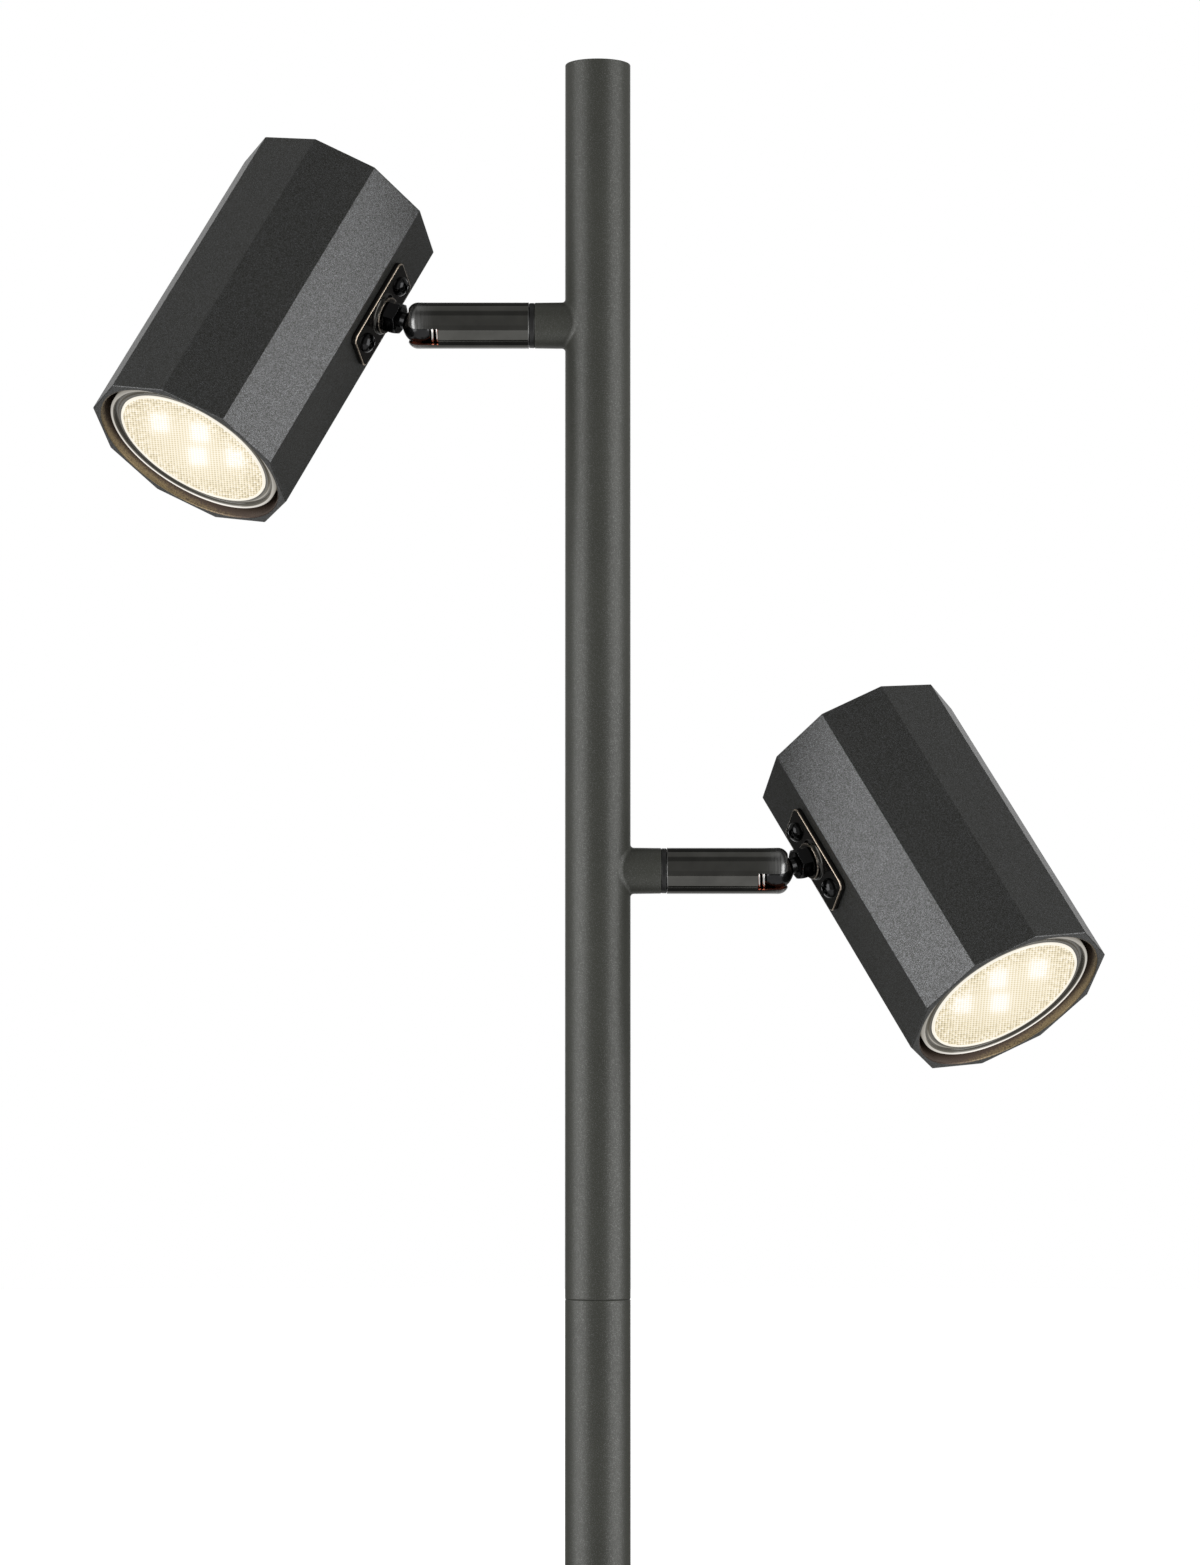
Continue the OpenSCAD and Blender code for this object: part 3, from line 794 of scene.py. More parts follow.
class Finishes:
    """All finishes of the lamp, by the record's slots and by the extra names that scene pieces use."""

    def __init__(self) -> None:
        """Builds every material once."""
        coat = (0.0435, 0.0448, 0.0366)
        fleck = (0.155, 0.157, 0.151)
        # Glow of the clear ring: the lamp's light, and painted highlights by angle.
        ring_light = ((0.0, BLACK), (0.5, (0.10, 0.09, 0.07)), (1.0, (0.98, 0.94, 0.87)))
        lens_light = ((0.0, (0.42, 0.35, 0.21)), (0.5, (0.86, 0.755, 0.53)), (1.0, (0.98, 0.97, 0.94)))
        recipes = (
            PowderCoat("pole_paint", coat, fleck, 0.16, 0.42),
            PowderCoat("base_paint", coat, fleck, 0.16, 0.42),
            PowderCoat("head_paint", (0.0184, 0.0186, 0.0150), (0.176, 0.179, 0.187), 0.40, 0.36),
            # In the bore the lighter colour is painted light: the lamp's glow near the mouth.
            WearAndLightPlating("bore_metal", (0.085, 0.060, 0.048), (0.27, 0.205, 0.115), 0.34, 0.6),
            DarkChrome("dark_chrome", (0.122, 0.121, 0.113), (0.34, 0.34, 0.34)),
            # On the bracket the lighter colour is wear with a painted highlight on the rims.
            WearAndLightPlating("bracket_metal", (0.062, 0.060, 0.056), (0.62, 0.52, 0.42)),
            Grained("black_steel", (0.040, 0.040, 0.041), 0.17, 1.0, 0.5, 0.008),
            Grained("zinc_steel", (0.60, 0.59, 0.56), 0.30, 1.0),
            Grained("spring_steel", (0.78, 0.78, 0.76), 0.16, 1.0, 0.3, 0.003),
            Grained("brass", (0.72, 0.58, 0.32), 0.28, 1.0),
            # On the socket's slot walls this copper is a painted glint.
            Grained("copper", (0.78, 0.26, 0.16), 0.30, 1.0, 0.3, 0.004),
            Grained("black_plastic", (0.012, 0.012, 0.012), 0.36),
            Grained("ceramic", (0.86, 0.84, 0.78), 0.55, 0.0, 0.6, 0.02, 0.05),
            LitLens("lamp_plastic", ring_light, (0.10, 0.097, 0.09), 0.5),
            Grained("led_white", (0.90, 0.88, 0.82), 0.5, 0.0, 0.5, 0.01, 0.05),
            Grained("iron", (0.16, 0.16, 0.16), 0.65, 0.6, 0.9, 0.08),
            Grained("foam_pad", (0.03, 0.03, 0.03), 0.85, 0.0, 0.7, 0.06),
            Grained("lead_sheath", (0.80, 0.79, 0.76), 0.5, 0.0, 0.4, 0.01, 0.05),
            LitLens("lens_glass", lens_light),
        )
        self.by_name = {recipe.name: recipe.build() for recipe in recipes}

    def __getitem__(self, name: str) -> bpy.types.Material:
        """The material of one name."""
        return self.by_name[name]

    def dress_solids(self, frame: dict[str, Any]) -> None:
        """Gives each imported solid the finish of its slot.
        """
        for row in frame["record"]["subparts"]:
            mesh = frame["nodes"][row["node"]].data
            mesh.materials.clear()
            mesh.materials.append(self[row["material_slot"]])


# Pole and base


@dataclass
class Pole(Assembly):
    """Four tubes on top of one another, with a fine seam where they meet."""

    radius: float = 9.0
    bore: float = 7.8
    foot: float = 24.0
    section: float = 340.5
    count: int = 4
    edges: tuple[float, ...] = (0.1, 0.3, 0.3, 0.2)

    def tube(self, number: int) -> Shell:
        """One tube, by its number from 1 at the bottom: a rectangle carried round the pole's axis."""
        low = self.foot + (number - 1) * self.section
        return hoop((low, low + self.section), (self.bore, self.radius), self.edges, 144)

    def pieces(self) -> list[Piece]:
        """The tubes, from the bottom to the top.

        Returns:
            The pieces.
        """
        place = Place(UPRIGHT)
        stand = Part.STAND.value
        return [
            (Rider(f"tube_{n}", stand, f"pole_section_{n}", ("pole_paint",)), [self.tube(n)], place)
            for n in range(1, self.count + 1)
        ]


@dataclass
class Base(Assembly):
    """Spun cover of the base, with the cord's inlet at the back."""

    radius: float = 115.0
    height: float = 24.0
    wall: float = 1.5
    shoulder: float = 8.0
    hem: float = 0.4
    lift: float = 1.0
    hole: float = 5.3
    hole_edge: float = 0.2
    inlet_z: float = 8.0
    inlet_depth: float = 10.0
    cord_r: float = 3.2
    bush_r: float = 4.5
    flange_r: float = 6.5
    flange_t: float = 2.0
    inlet_edges: tuple[float, ...] = (0.2, 0.3, 0.1, 0.2, 0.8, 0.7)

    def cover(self) -> Shell:
        """The cover: its wall's section, rounded at the shoulder, carried round the pole's axis.

        Returns:
            The shell.
        """
        inner = self.radius - self.wall
        under = self.height - self.wall
        corners = (
            (self.lift, self.radius),
            (self.height, self.radius),
            (self.height, self.hole),
            (under, self.hole),
            (under, inner),
            (self.lift, inner),
        )
        inside = self.shoulder - self.wall
        radii = (self.hem, self.shoulder, self.hole_edge, self.hole_edge, inside, self.hem)
        return revolve(rounded(corners, radii, 10), 192)

    def inlet(self) -> Shell:
        """The inlet: a flanged bush with a rounded mouth, carried round its own axis.

        Returns:
            The shell.
        """
        back, front = self.radius - self.inlet_depth, self.radius + self.flange_t
        corners = (
            (back, self.cord_r),
            (back, self.bush_r),
            (self.radius, self.bush_r),
            (self.radius, self.flange_r),
            (front, self.flange_r),
            (front, self.cord_r),
        )
        return revolve(rounded(corners, self.inlet_edges), 64)

    def pieces(self) -> list[Piece]:
        """The cover and the inlet.

        Returns:
            The pieces.
        """
        stand = Part.STAND.value
        behind = Place(turned(Axis.Z, 90.0), np.array([0.0, 0.0, self.inlet_z]))
        return [
            (Rider("cover", stand, "base_cover", ("base_paint",)), [self.cover()], Place(UPRIGHT)),
            (Rider("cord_inlet", stand, "cord_gland", ("black_plastic",)), [self.inlet()], behind),
        ]


# Arms


@dataclass
class Arm(Assembly):
    """Sleeve on the pole, black washer, and the slotted socket tube with the spring behind the ball."""

    limb: Limb
    pole_r: float = 9.0
    radius: float = 6.35
    sleeve_end: float = 17.4
    sleeve_bore: float = 4.02
    sleeve_fillet: float = 0.9
    sleeve_edges: tuple[float, ...] = (0.0, 0.1, 0.25)
    washer_t: float = 1.5
    washer_inset: float = 0.15
    washer_bore: float = 4.05
    washer_edges: tuple[float, ...] = (0.1, 0.3, 0.3, 0.1)
    start: float = 18.95
    end: float = 52.15
    edge: float = 0.2
    pivot: float = 48.6
    bore: float = 5.75
    rear_bore: float = 5.4
    shoulder: float = 27.6
    end_r: float = 3.0
    seat_r: float = 5.25
    seat_step: float = 0.002
    mouth_r: float = 4.75
    slot_behind: float = 4.7
    slot_w: float = 5.154
    spring_r: float = 5.1
    wire_r: float = 0.4
    spring_low: float = 29.0
    spring_high: float = 45.73
    spring_turns: int = 11
    end_pitch: float = 2.05

    def sleeve(self) -> Shell:
        """The sleeve, filleted into the pole.

        At each angle round the arm a closed path runs along the sleeve, through a quarter circle into
        the pole's surface, along that surface to the bore, and back through the bore. Near the pole the
        path is given by its distance from the arm's axis and its height above the pole, whose surface
        lies at the root of the pole's radius squared minus y squared.

        Returns:
            The shell.
        """
        angle = circle(128)
        out, drop = quarter(9)
        ring = np.concatenate([self.radius + self.sleeve_fillet * out, [self.sleeve_bore]])[:, None]
        lift = np.concatenate([self.sleeve_fillet * drop, [0.0]])[:, None]
        on_pole = swept(lift, ring, np.cos(angle), np.sin(angle))
        on_pole[..., 0] += np.sqrt(self.pole_r**2 - on_pole[..., 1] ** 2)
        corners = (
            (self.pole_r, self.sleeve_bore),
            (self.sleeve_end, self.sleeve_bore),
            (self.sleeve_end, self.radius),
        )
        tail = rounded(corners, self.sleeve_edges)[ARC_STEPS:]
        straight = swept(tail[:, :1], tail[:, 1:], np.cos(angle), np.sin(angle))
        return grid(np.concatenate([on_pole, straight]), closed_rows=True)

    def washer(self) -> Shell:
        """The washer: a small rectangle with rounded corners carried round the arm's axis."""
        span = (self.sleeve_end, self.sleeve_end + self.washer_t)
        return hoop(span, (self.washer_bore, self.radius - self.washer_inset), self.washer_edges, 96)

    @property
    def round_x(self) -> float:
        """Where the tube's outside starts to round off to the mouth."""
        return self.end - math.sqrt(self.end_r**2 - (self.mouth_r - self.radius + self.end_r) ** 2)

    def outer(self, x: Array) -> Array:
        """Outer radius of the tube along its axis, with the quarter round at the mouth."""
        past = np.clip(x - self.round_x, 0, None)
        return self.radius - self.end_r + np.sqrt(np.clip(self.end_r**2 - past**2, 0, None))

    def inner(self, x: Array) -> Array:
        """Inner radius of the tube along its axis: bore, ball seat and mouth."""
        seat = np.sqrt(np.clip(self.seat_r**2 - (x - self.pivot) ** 2, 0, None))
        return np.where(x < self.pivot, self.bore, np.maximum(seat, self.mouth_r))

    def socket(self) -> list[Shell]:
        """The socket tube, cut open by the slot at its lower front.

        A point lies at (x, r sin a, -r cos a), so that the slot's middle is at a = 0. In front of the
        slot's root both skins start and end at the angle whose sine is half the slot's width over r, and
        flat walls join them. Behind the root the skins are whole. The walls and the root's face are
        coloured copper, a painted reflection of a copper-red glint in the slot.

        Returns:
            The skins, the slot's walls, the root's face and the rear.
        """

        def at(along: Array, radius: Array, angle: Array) -> Array:
            """Points of the tube."""
            return swept(along, radius, np.sin(angle), -np.cos(angle))

        root = self.pivot - self.slot_behind
        swing = np.linspace(0, math.asin((self.end - self.round_x) / self.end_r), 14)
        mouth = self.pivot + math.sqrt(self.seat_r**2 - self.mouth_r**2)
        behind = np.linspace(root, self.pivot - self.seat_step, 12)
        front = self.round_x + self.end_r * np.sin(swing[:-1])
        x = np.unique(np.concatenate([behind, [self.pivot, mouth], front, [self.end]]))
        radii = (self.outer(x), self.inner(x))
        radii[1][-1] = radii[0][-1] = self.mouth_r
        half = [np.arcsin(self.slot_w / 2 / r)[:, None] for r in radii]
        angles = [h + (2 * math.pi - 2 * h) * np.linspace(0, 1, 97) for h in half]
        skins = [at(x[:, None], r[:, None], a) for r, a in zip(radii, angles)]
        brushed = np.clip((x - root) / (self.round_x - root), 0, 1)[:, None] ** 2
        shells = [grid(skins[0], closed_cols=False, tone=brushed), grid(skins[1], closed_cols=False)]
        for column in (0, -1):
            wall = np.stack([skin[:, column] for skin in skins])
            # Finish 1 is copper on the slot's walls and root face: a painted glint.
            shells.append(grid(wall, closed_cols=False, finish=1))
        arcs = [h[0] * np.linspace(-1, 1, 13) for h in half]
        face = np.stack([at(np.full(1, root), r[:1], a) for r, a in zip(radii, arcs)])
        shells.append(grid(face, closed_cols=False, finish=1))
        loops = [np.concatenate([a[0], b[1:-1]]) for a, b in zip(angles, arcs)]
        # Rear rows: place, radius, skin and tone; the tone of 1 on the rear chamfer paints a highlight.
        rear = (
            (root, self.bore, 1, 0.0),
            (self.shoulder, self.bore, 1, 0.0),
            (self.shoulder, self.rear_bore, 1, 0.0),
            (self.start, self.rear_bore, 1, 0.0),
            (self.start, self.radius - self.edge, 0, 1.0),
            (self.start + 0.3 * self.edge, self.radius - 0.3 * self.edge, 0, 1.0),
            (self.start + self.edge, self.radius, 0, 1.0),
            (self.start + 1.5 * self.edge, self.radius, 0, 0.0),
            (root - 1.0, self.radius, 0, 0.0),
            (root, self.radius, 0, 0.0),
        )
        rows = [at(np.full(1, place), np.full(1, r), loops[skin]) for place, r, skin, _ in rear]
        shells.append(grid(np.stack(rows), tone=np.array([tone for *_, tone in rear])[:, None]))
        return shells

    def spring(self) -> Shell:
        """The spring: a round section carried along a helix whose end turns lie close together.

        The turn angle runs evenly, and the place along the axis follows it with the pitch eased to the
        wire's thickness in the first and last turn.

        Returns:
            The shell.
        """
        turns = np.linspace(0, self.spring_turns, self.spring_turns * 40 + 1)
        ease = np.clip(np.minimum(turns, self.spring_turns - turns), 0, 1)
        pitch = self.end_pitch * self.wire_r + ease
        travel = np.concatenate([[0], np.cumsum((pitch[1:] + pitch[:-1]) / 2 * np.diff(turns))])
        angle = 2 * math.pi * turns
        out = np.stack([0 * angle, np.cos(angle), np.sin(angle)], -1)
        centre = self.spring_r * out
        centre[:, 0] = self.spring_low + (self.spring_high - self.spring_low) * travel / travel[-1]
        section = circle(12)[None, :, None]
        radius = np.full((len(turns), 1, 1), self.wire_r)
        radius[[0, -1]] = 0.0
        ring = np.cos(section) * out[:, None] + np.sin(section) * np.array([1.0, 0.0, 0.0])
        return grid(centre[:, None] + radius * ring)

    def pieces(self) -> list[Piece]:
        """Sleeve, washer, socket tube and spring.

        Returns:
            The pieces.
        """
        limb = self.limb
        sleeve = limb.rider("sleeve", Part.STAND, "arm_sleeve", "pole_paint")
        washer = limb.rider("washer", Part.STAND, "swivel_washer", "black_plastic")
        # The socket's second finish, copper, paints a glint on the slot's walls.
        socket = limb.rider("socket", Part.ARM, "socket_arm", "dark_chrome", "copper")
        coil = limb.rider("coil", Part.ARM, "joint_spring", "spring_steel")
        return [
            (sleeve, [self.sleeve()], limb.arm),
            (washer, [self.washer()], limb.arm),
            (socket, self.socket(), limb.socket),
            (coil, [self.spring()], limb.socket),
        ]


# Ball stud and bracket


@dataclass
class Stud(Assembly):
    """Ball with its hollow neck, and the hex nut on the thread."""

    limb: Limb
    ball_r: float = 5.2
    neck_r: float = 2.277
    bore_r: float = 1.477
    neck_end: float = 6.6
    neck_edges: tuple[float, ...] = (0.0, 0.2, 0.4, 0.1)
    thread_r: float = 3.0
    thread_gap: float = 0.02
    end: float = 18.51
    nut_flats: float = 8.0
    nut_t: float = 4.0
    nut_face: float = 0.955
    chamfer_h: float = 0.7
    chamfer_angle: float = 60.0

    def ball(self) -> Shell:
        """Ball, neck and thread: a sphere's arc, a neck and a step, carried round the stud's axis.

        Returns:
            The shell.
        """
        first, last = math.asin(self.bore_r / self.ball_r), math.asin(self.neck_r / self.ball_r)
        swing = np.linspace(math.pi - first, last, 40)
        arc = self.ball_r * np.stack([np.cos(swing), np.sin(swing)], -1)
        corners = (
            (self.neck_end, self.neck_r),
            (self.neck_end, self.thread_r),
            (self.end, self.thread_r),
            (self.end, self.bore_r),
        )
        neck = rounded(corners, self.neck_edges)[ARC_STEPS - 1 :]
        return revolve(np.concatenate([arc, neck]), 96)

    def nut(self) -> Shell:
        """The nut: the smaller of a hexagon's radius and a chamfer cone's, at each angle and place.

        The hexagon's radius is half the width across the flats over the cosine of the angle from the
        nearest flat's middle, and the cones open at thirty degrees from each end face.

        Returns:
            The shell.
        """
        angle = circle(240)
        rise = np.linspace(0, self.chamfer_h, 9)
        place = np.concatenate([rise, [self.nut_t / 2], self.nut_t - rise[::-1]])
        flat = np.mod(angle + math.pi / 6, math.pi / 3) - math.pi / 6
        hexagon = self.nut_flats / 2 / np.cos(flat)
        depth = np.minimum(place, self.nut_t - place)
        cone = self.nut_face * self.nut_flats / 2 + depth * math.tan(math.radians(self.chamfer_angle))
        hole = np.full((1, len(angle)), self.thread_r + self.thread_gap)
        radius = np.concatenate([hole, np.minimum(hexagon[None], cone[:, None]), hole])
        along = self.neck_end + np.concatenate([[0.0], place, [self.nut_t]])
        return grid(swept(along[:, None], radius, np.sin(angle), np.cos(angle)), closed_rows=True)

    def pieces(self) -> list[Piece]:
        """The stud and its nut.

        Returns:
            The pieces.
        """
        ball = self.limb.rider("ball", Part.STUD, "ball_stud", "black_steel")
        nut = self.limb.rider("hex_nut", Part.STUD, "lock_nut", "black_steel")
        return [(ball, [self.ball()], self.limb.stud), (nut, [self.nut()], self.limb.stud)]


@dataclass
class Bracket(Assembly):
    """Plate on the head's facet with its collar and its two cross-head screws."""

    limb: Limb
    collar_x: float = 10.65
    plate_x: float = 12.1
    facet_x: float = 13.7
    length: float = 29.0
    width: float = 12.8
    corner: float = 2.2
    collar_r: float = 5.2
    collar_edge: float = 0.3
    collar_fillet: float = 0.9
    # Tone of the collar's rim: wear with a painted glint.
    collar_wear_and_glint: float = 0.55
    hole_r: float = 3.05
    bevel: float = 0.35
    # Tones across the bevel: wear with a painted highlight.
    bevel_wear_and_highlight: tuple[float, ...] = (0.5, 1.0, 1.0, 1.0, 1.0, 0.5)
    back_edge: float = 0.2
    screw_spacing: float = 20.4
    screw_r: float = 2.8
    screw_h: float = 2.0
    flank: float = 0.45
    bar_half: tuple[float, float] = (0.52, 1.72)
    bar_soft: tuple[float, float] = (0.12, 0.2)
    recess_depth: float = 1.25
    recess_slope: float = 0.42
    shank_r: float = 1.5
    shank_end: float = 15.5
    shank_tip: float = 0.4

    def loop(self, angle: Array, inset: float) -> Array:
        """Radius of the plate's outline: the first side or corner arc that a ray from its middle meets.

        Args:
            angle: Angles from the plate's length.
            inset: Distance of the loop inside the outline.

        Returns:
            The radii.
        """
        reach = np.array([self.length / 2 - inset, self.width / 2 - inset])
        corner = max(self.corner - inset, 0.05)
        ray = np.abs(np.stack([np.cos(angle), np.sin(angle)], -1)) + 1e-12
        to_end, to_side = reach[0] / ray[:, 0], reach[1] / ray[:, 1]
        centre = reach - corner
        along = ray @ centre
        to_arc = along + np.sqrt(np.clip(along**2 - centre @ centre + corner**2, 0, None))
        on_end = to_end * ray[:, 1] <= centre[1]
        on_side = to_side * ray[:, 0] <= centre[0]
        return np.where(on_end, to_end, np.where(on_side, to_side, to_arc))

    def plate(self) -> Shell:
        """Plate and collar: loops from the hole over the back, the bevelled rim and the front.

        Each loop is a place along the stud and a radius at each angle. The tone is 1 on the rims,
        where wear and a painted highlight lighten them.

        Returns:
            The shell.
        """
        angle = circle(320)
        rounds = list(zip(*quarter(6)))

        def ring(x: float, radius: float, tone: float = 0.0) -> tuple[float, Array, float]:
            """A round loop."""
            return x, np.full(len(angle), radius), tone

        def rim(x: float, inset: float, tone: float) -> tuple[float, Array, float]:
            """A loop along the plate's outline."""
            return x, self.loop(angle, inset), tone

        loops = [
            ring(self.facet_x, self.hole_r),
            rim(self.facet_x, self.back_edge, 0.0),
            rim(self.facet_x - self.back_edge, 0.0, 0.1),
            rim(self.plate_x + 2 * self.bevel, 0.0, 0.15),
        ]
        for (out, drop), wear in zip(rounds, self.bevel_wear_and_highlight):
            loops.append(rim(self.plate_x + self.bevel * drop, self.bevel * out, wear))
        loops.append(rim(self.plate_x, 2.2 * self.bevel, 0.0))
        for out, drop in rounds:
            x, radius = self.plate_x - self.collar_fillet * out, self.collar_r + self.collar_fillet * drop
            loops.append(ring(x, radius))
        for out, drop in rounds:
            x, radius = self.collar_x + self.collar_edge * drop, self.collar_r - self.collar_edge * out
            loops.append(ring(x, radius, self.collar_wear_and_glint))
        loops.append(ring(self.collar_x, self.hole_r))
        along, radius, tone = (np.stack(values) for values in zip(*loops))
        points = swept(along[:, None], radius, np.sin(angle), np.cos(angle))
        return grid(points, closed_rows=True, tone=tone[:, None])

    def screw(self, z: float) -> Shell:
        """One pan head screw.

        Rings from the head's crown outwards carry a height that falls as a circle's arc, less the depth
        of a cross recess: two crossed bars with soft edges, deepest in the middle. The last rings are the
        shank.

        Args:
            z: Place of the screw along the plate.

        Returns:
            The shell.
        """

        def bar(across: Array, along: Array) -> Array:
            """Cover of one bar of the cross, 1 inside and 0 outside."""
            away = zip((across, along), self.bar_half, self.bar_soft)
            return math.prod(np.clip((half - np.abs(at)) / soft, 0, 1) for at, half, soft in away)

        angle = circle(120)
        radius = self.screw_r * np.concatenate([np.linspace(0, 0.66, 30), np.linspace(0.7, 1, 12)])
        crown = (self.screw_r**2 + self.screw_h**2) / 2 / self.screw_h
        fall = 1 - np.sqrt(1 - (radius / crown) ** 2)
        height = self.flank + (self.screw_h - self.flank) * (1 - fall / fall[-1])
        head = swept((self.plate_x - height)[:, None], radius[:, None], np.sin(angle), np.cos(angle))
        y, w = head[..., 1], head[..., 2]
        depth = self.recess_depth - self.recess_slope * radius[:, None]
        head[..., 0] += np.maximum(bar(y, w), bar(w, y)) * depth
        tail = np.array(
            [
                [self.plate_x, self.screw_r],
                [self.plate_x, self.shank_r],
                [self.shank_end - self.shank_tip, self.shank_r],
                [self.shank_end, self.shank_r - self.shank_tip],
                [self.shank_end, 0.0],
            ]
        )
        shank = swept(tail[:, :1], tail[:, 1:], np.sin(angle), np.cos(angle))
        return grid(np.concatenate([head, shank]) + np.array([0.0, 0.0, z]))

    def pieces(self) -> list[Piece]:
        """The plate and the screws.

        Returns:
            The pieces.
        """
        pair = [self.screw(sign * self.screw_spacing / 2) for sign in (-1, 1)]
        plate = self.limb.rider("plate", Part.HEAD, "head_bracket", "bracket_metal")
        screws = self.limb.rider("screws", Part.HEAD, "bracket_screws", "black_steel")
        return [(plate, [self.plate()], self.limb.head), (screws, pair, self.limb.head)]


# Head and lamp


@dataclass
class Head(Assembly):
    """Ten-sided shell with softly broken edges and a round bore."""

    limb: Limb
    axis_x: float = 42.1
    bracket_at: float = 60.5
    apothem: float = 28.4
    length: float = 90.5
    sides: int = 10
    bore_r: float = 27.1
    bore_end: float = 87.5
    bore_rings: tuple[float, ...] = (1.5, 3.0, 4.5, 6.0)
    edge: float = 0.45
    rim: float = 0.35
    mouth: float = 0.5
    flat_shares: tuple[float, ...] = (0.03, 0.14, 0.32, 0.5, 0.68, 0.86, 0.97)
    # Painted light on the bore: the lamp's glow, strongest towards one side and fading inwards.
    warm_side: float = -28.0
    warm_gain: float = 1.15
    warm_power: float = 1.6
    warm_depth: float = 4.0

    def loop(self, inset: float) -> Array:
        """Outline of the shell at one inset: an arc at each corner, then points along the flat.

        Args:
            inset: Distance of each flat inside the shell's own flats.

        Returns:
            Points by 2.
        """
        half = math.pi / self.sides
        corner = (2 * np.arange(self.sides) + 1) * half
        reach = (self.apothem - inset - self.edge) / math.cos(half)
        centre = reach * np.stack([np.cos(corner), np.sin(corner)], -1)
        swing = corner[:, None] + np.linspace(-half, half, ARC_STEPS)
        arc = centre[:, None] + self.edge * np.stack([np.cos(swing), np.sin(swing)], -1)
        following = np.roll(arc[:, 0], -1, 0)
        share = np.array(self.flat_shares)[None, :, None]
        flat = arc[:, -1:] * (1 - share) + following[:, None] * share
        return np.concatenate([arc, flat], 1).reshape(-1, 2)

    def shell(self) -> list[Shell]:
        """The shell: loops from the rear's middle over the outside and the rim, and through the bore.

        Outside loops are the ten-sided outline at an inset, and inside loops are circles at the same
        angles. The tone is painted light, the lamp's glow on the bore: it falls from the mouth inwards,
        and with a power of the raised cosine of the angle from the side that the glow lights most.

        Returns:
            The outside and the bore.
        """
        rounds = list(zip(*quarter(5)))
        outline = self.loop(0.0)
        angle = np.arctan2(outline[:, 1], outline[:, 0])
        ray = np.stack([np.cos(angle), np.sin(angle)], -1)
        mouth = [((self.bore_r + self.mouth * drop) * ray, self.mouth * out) for out, drop in rounds]
        outside = [(0 * ray, self.length), (self.loop(3 * self.rim), self.length)]
        outside += [(self.loop(self.rim * drop), self.length - self.rim * out) for out, drop in rounds]
        outside += [(outline, self.length - 3 * self.rim), (outline, 3 * self.rim)]
        outside += [(self.loop(self.rim * out), self.rim * drop) for out, drop in rounds]
        outside += mouth[:2]
        inside = mouth[1:] + [(self.bore_r * ray, z) for z in (*self.bore_rings, self.bore_end)]
        inside.append((0 * ray, self.bore_end))
        # Painted lamp light on the bore, brightest towards one side.
        warm = self.warm_gain * raised(self.limb.flip * angle, self.warm_side, self.warm_power)

        def skin(loops: list[tuple[Array, float]], finish: int) -> Shell:
            """Quads between loops, with their tone.

            Args:
                loops: Points across the head's axis, and the place along it.
                finish: Number of the finish.

            Returns:
                The shell.
            """
            points = [np.column_stack([flat, np.full(len(flat), z)]) for flat, z in loops]
            depth = np.array([max(0.0, 1.0 - z / self.warm_depth) for _, z in loops])[:, None]
            return grid(np.stack(points), tone=depth * warm, finish=finish)

        return [skin(outside, 0), skin(inside, 1)]

    def pieces(self) -> list[Piece]:
        """The shell alone."""
        rider = self.limb.rider("shell", Part.HEAD, "head_shell", "head_paint", "bore_metal")
        return [(rider, self.shell(), self.limb.lamp)]


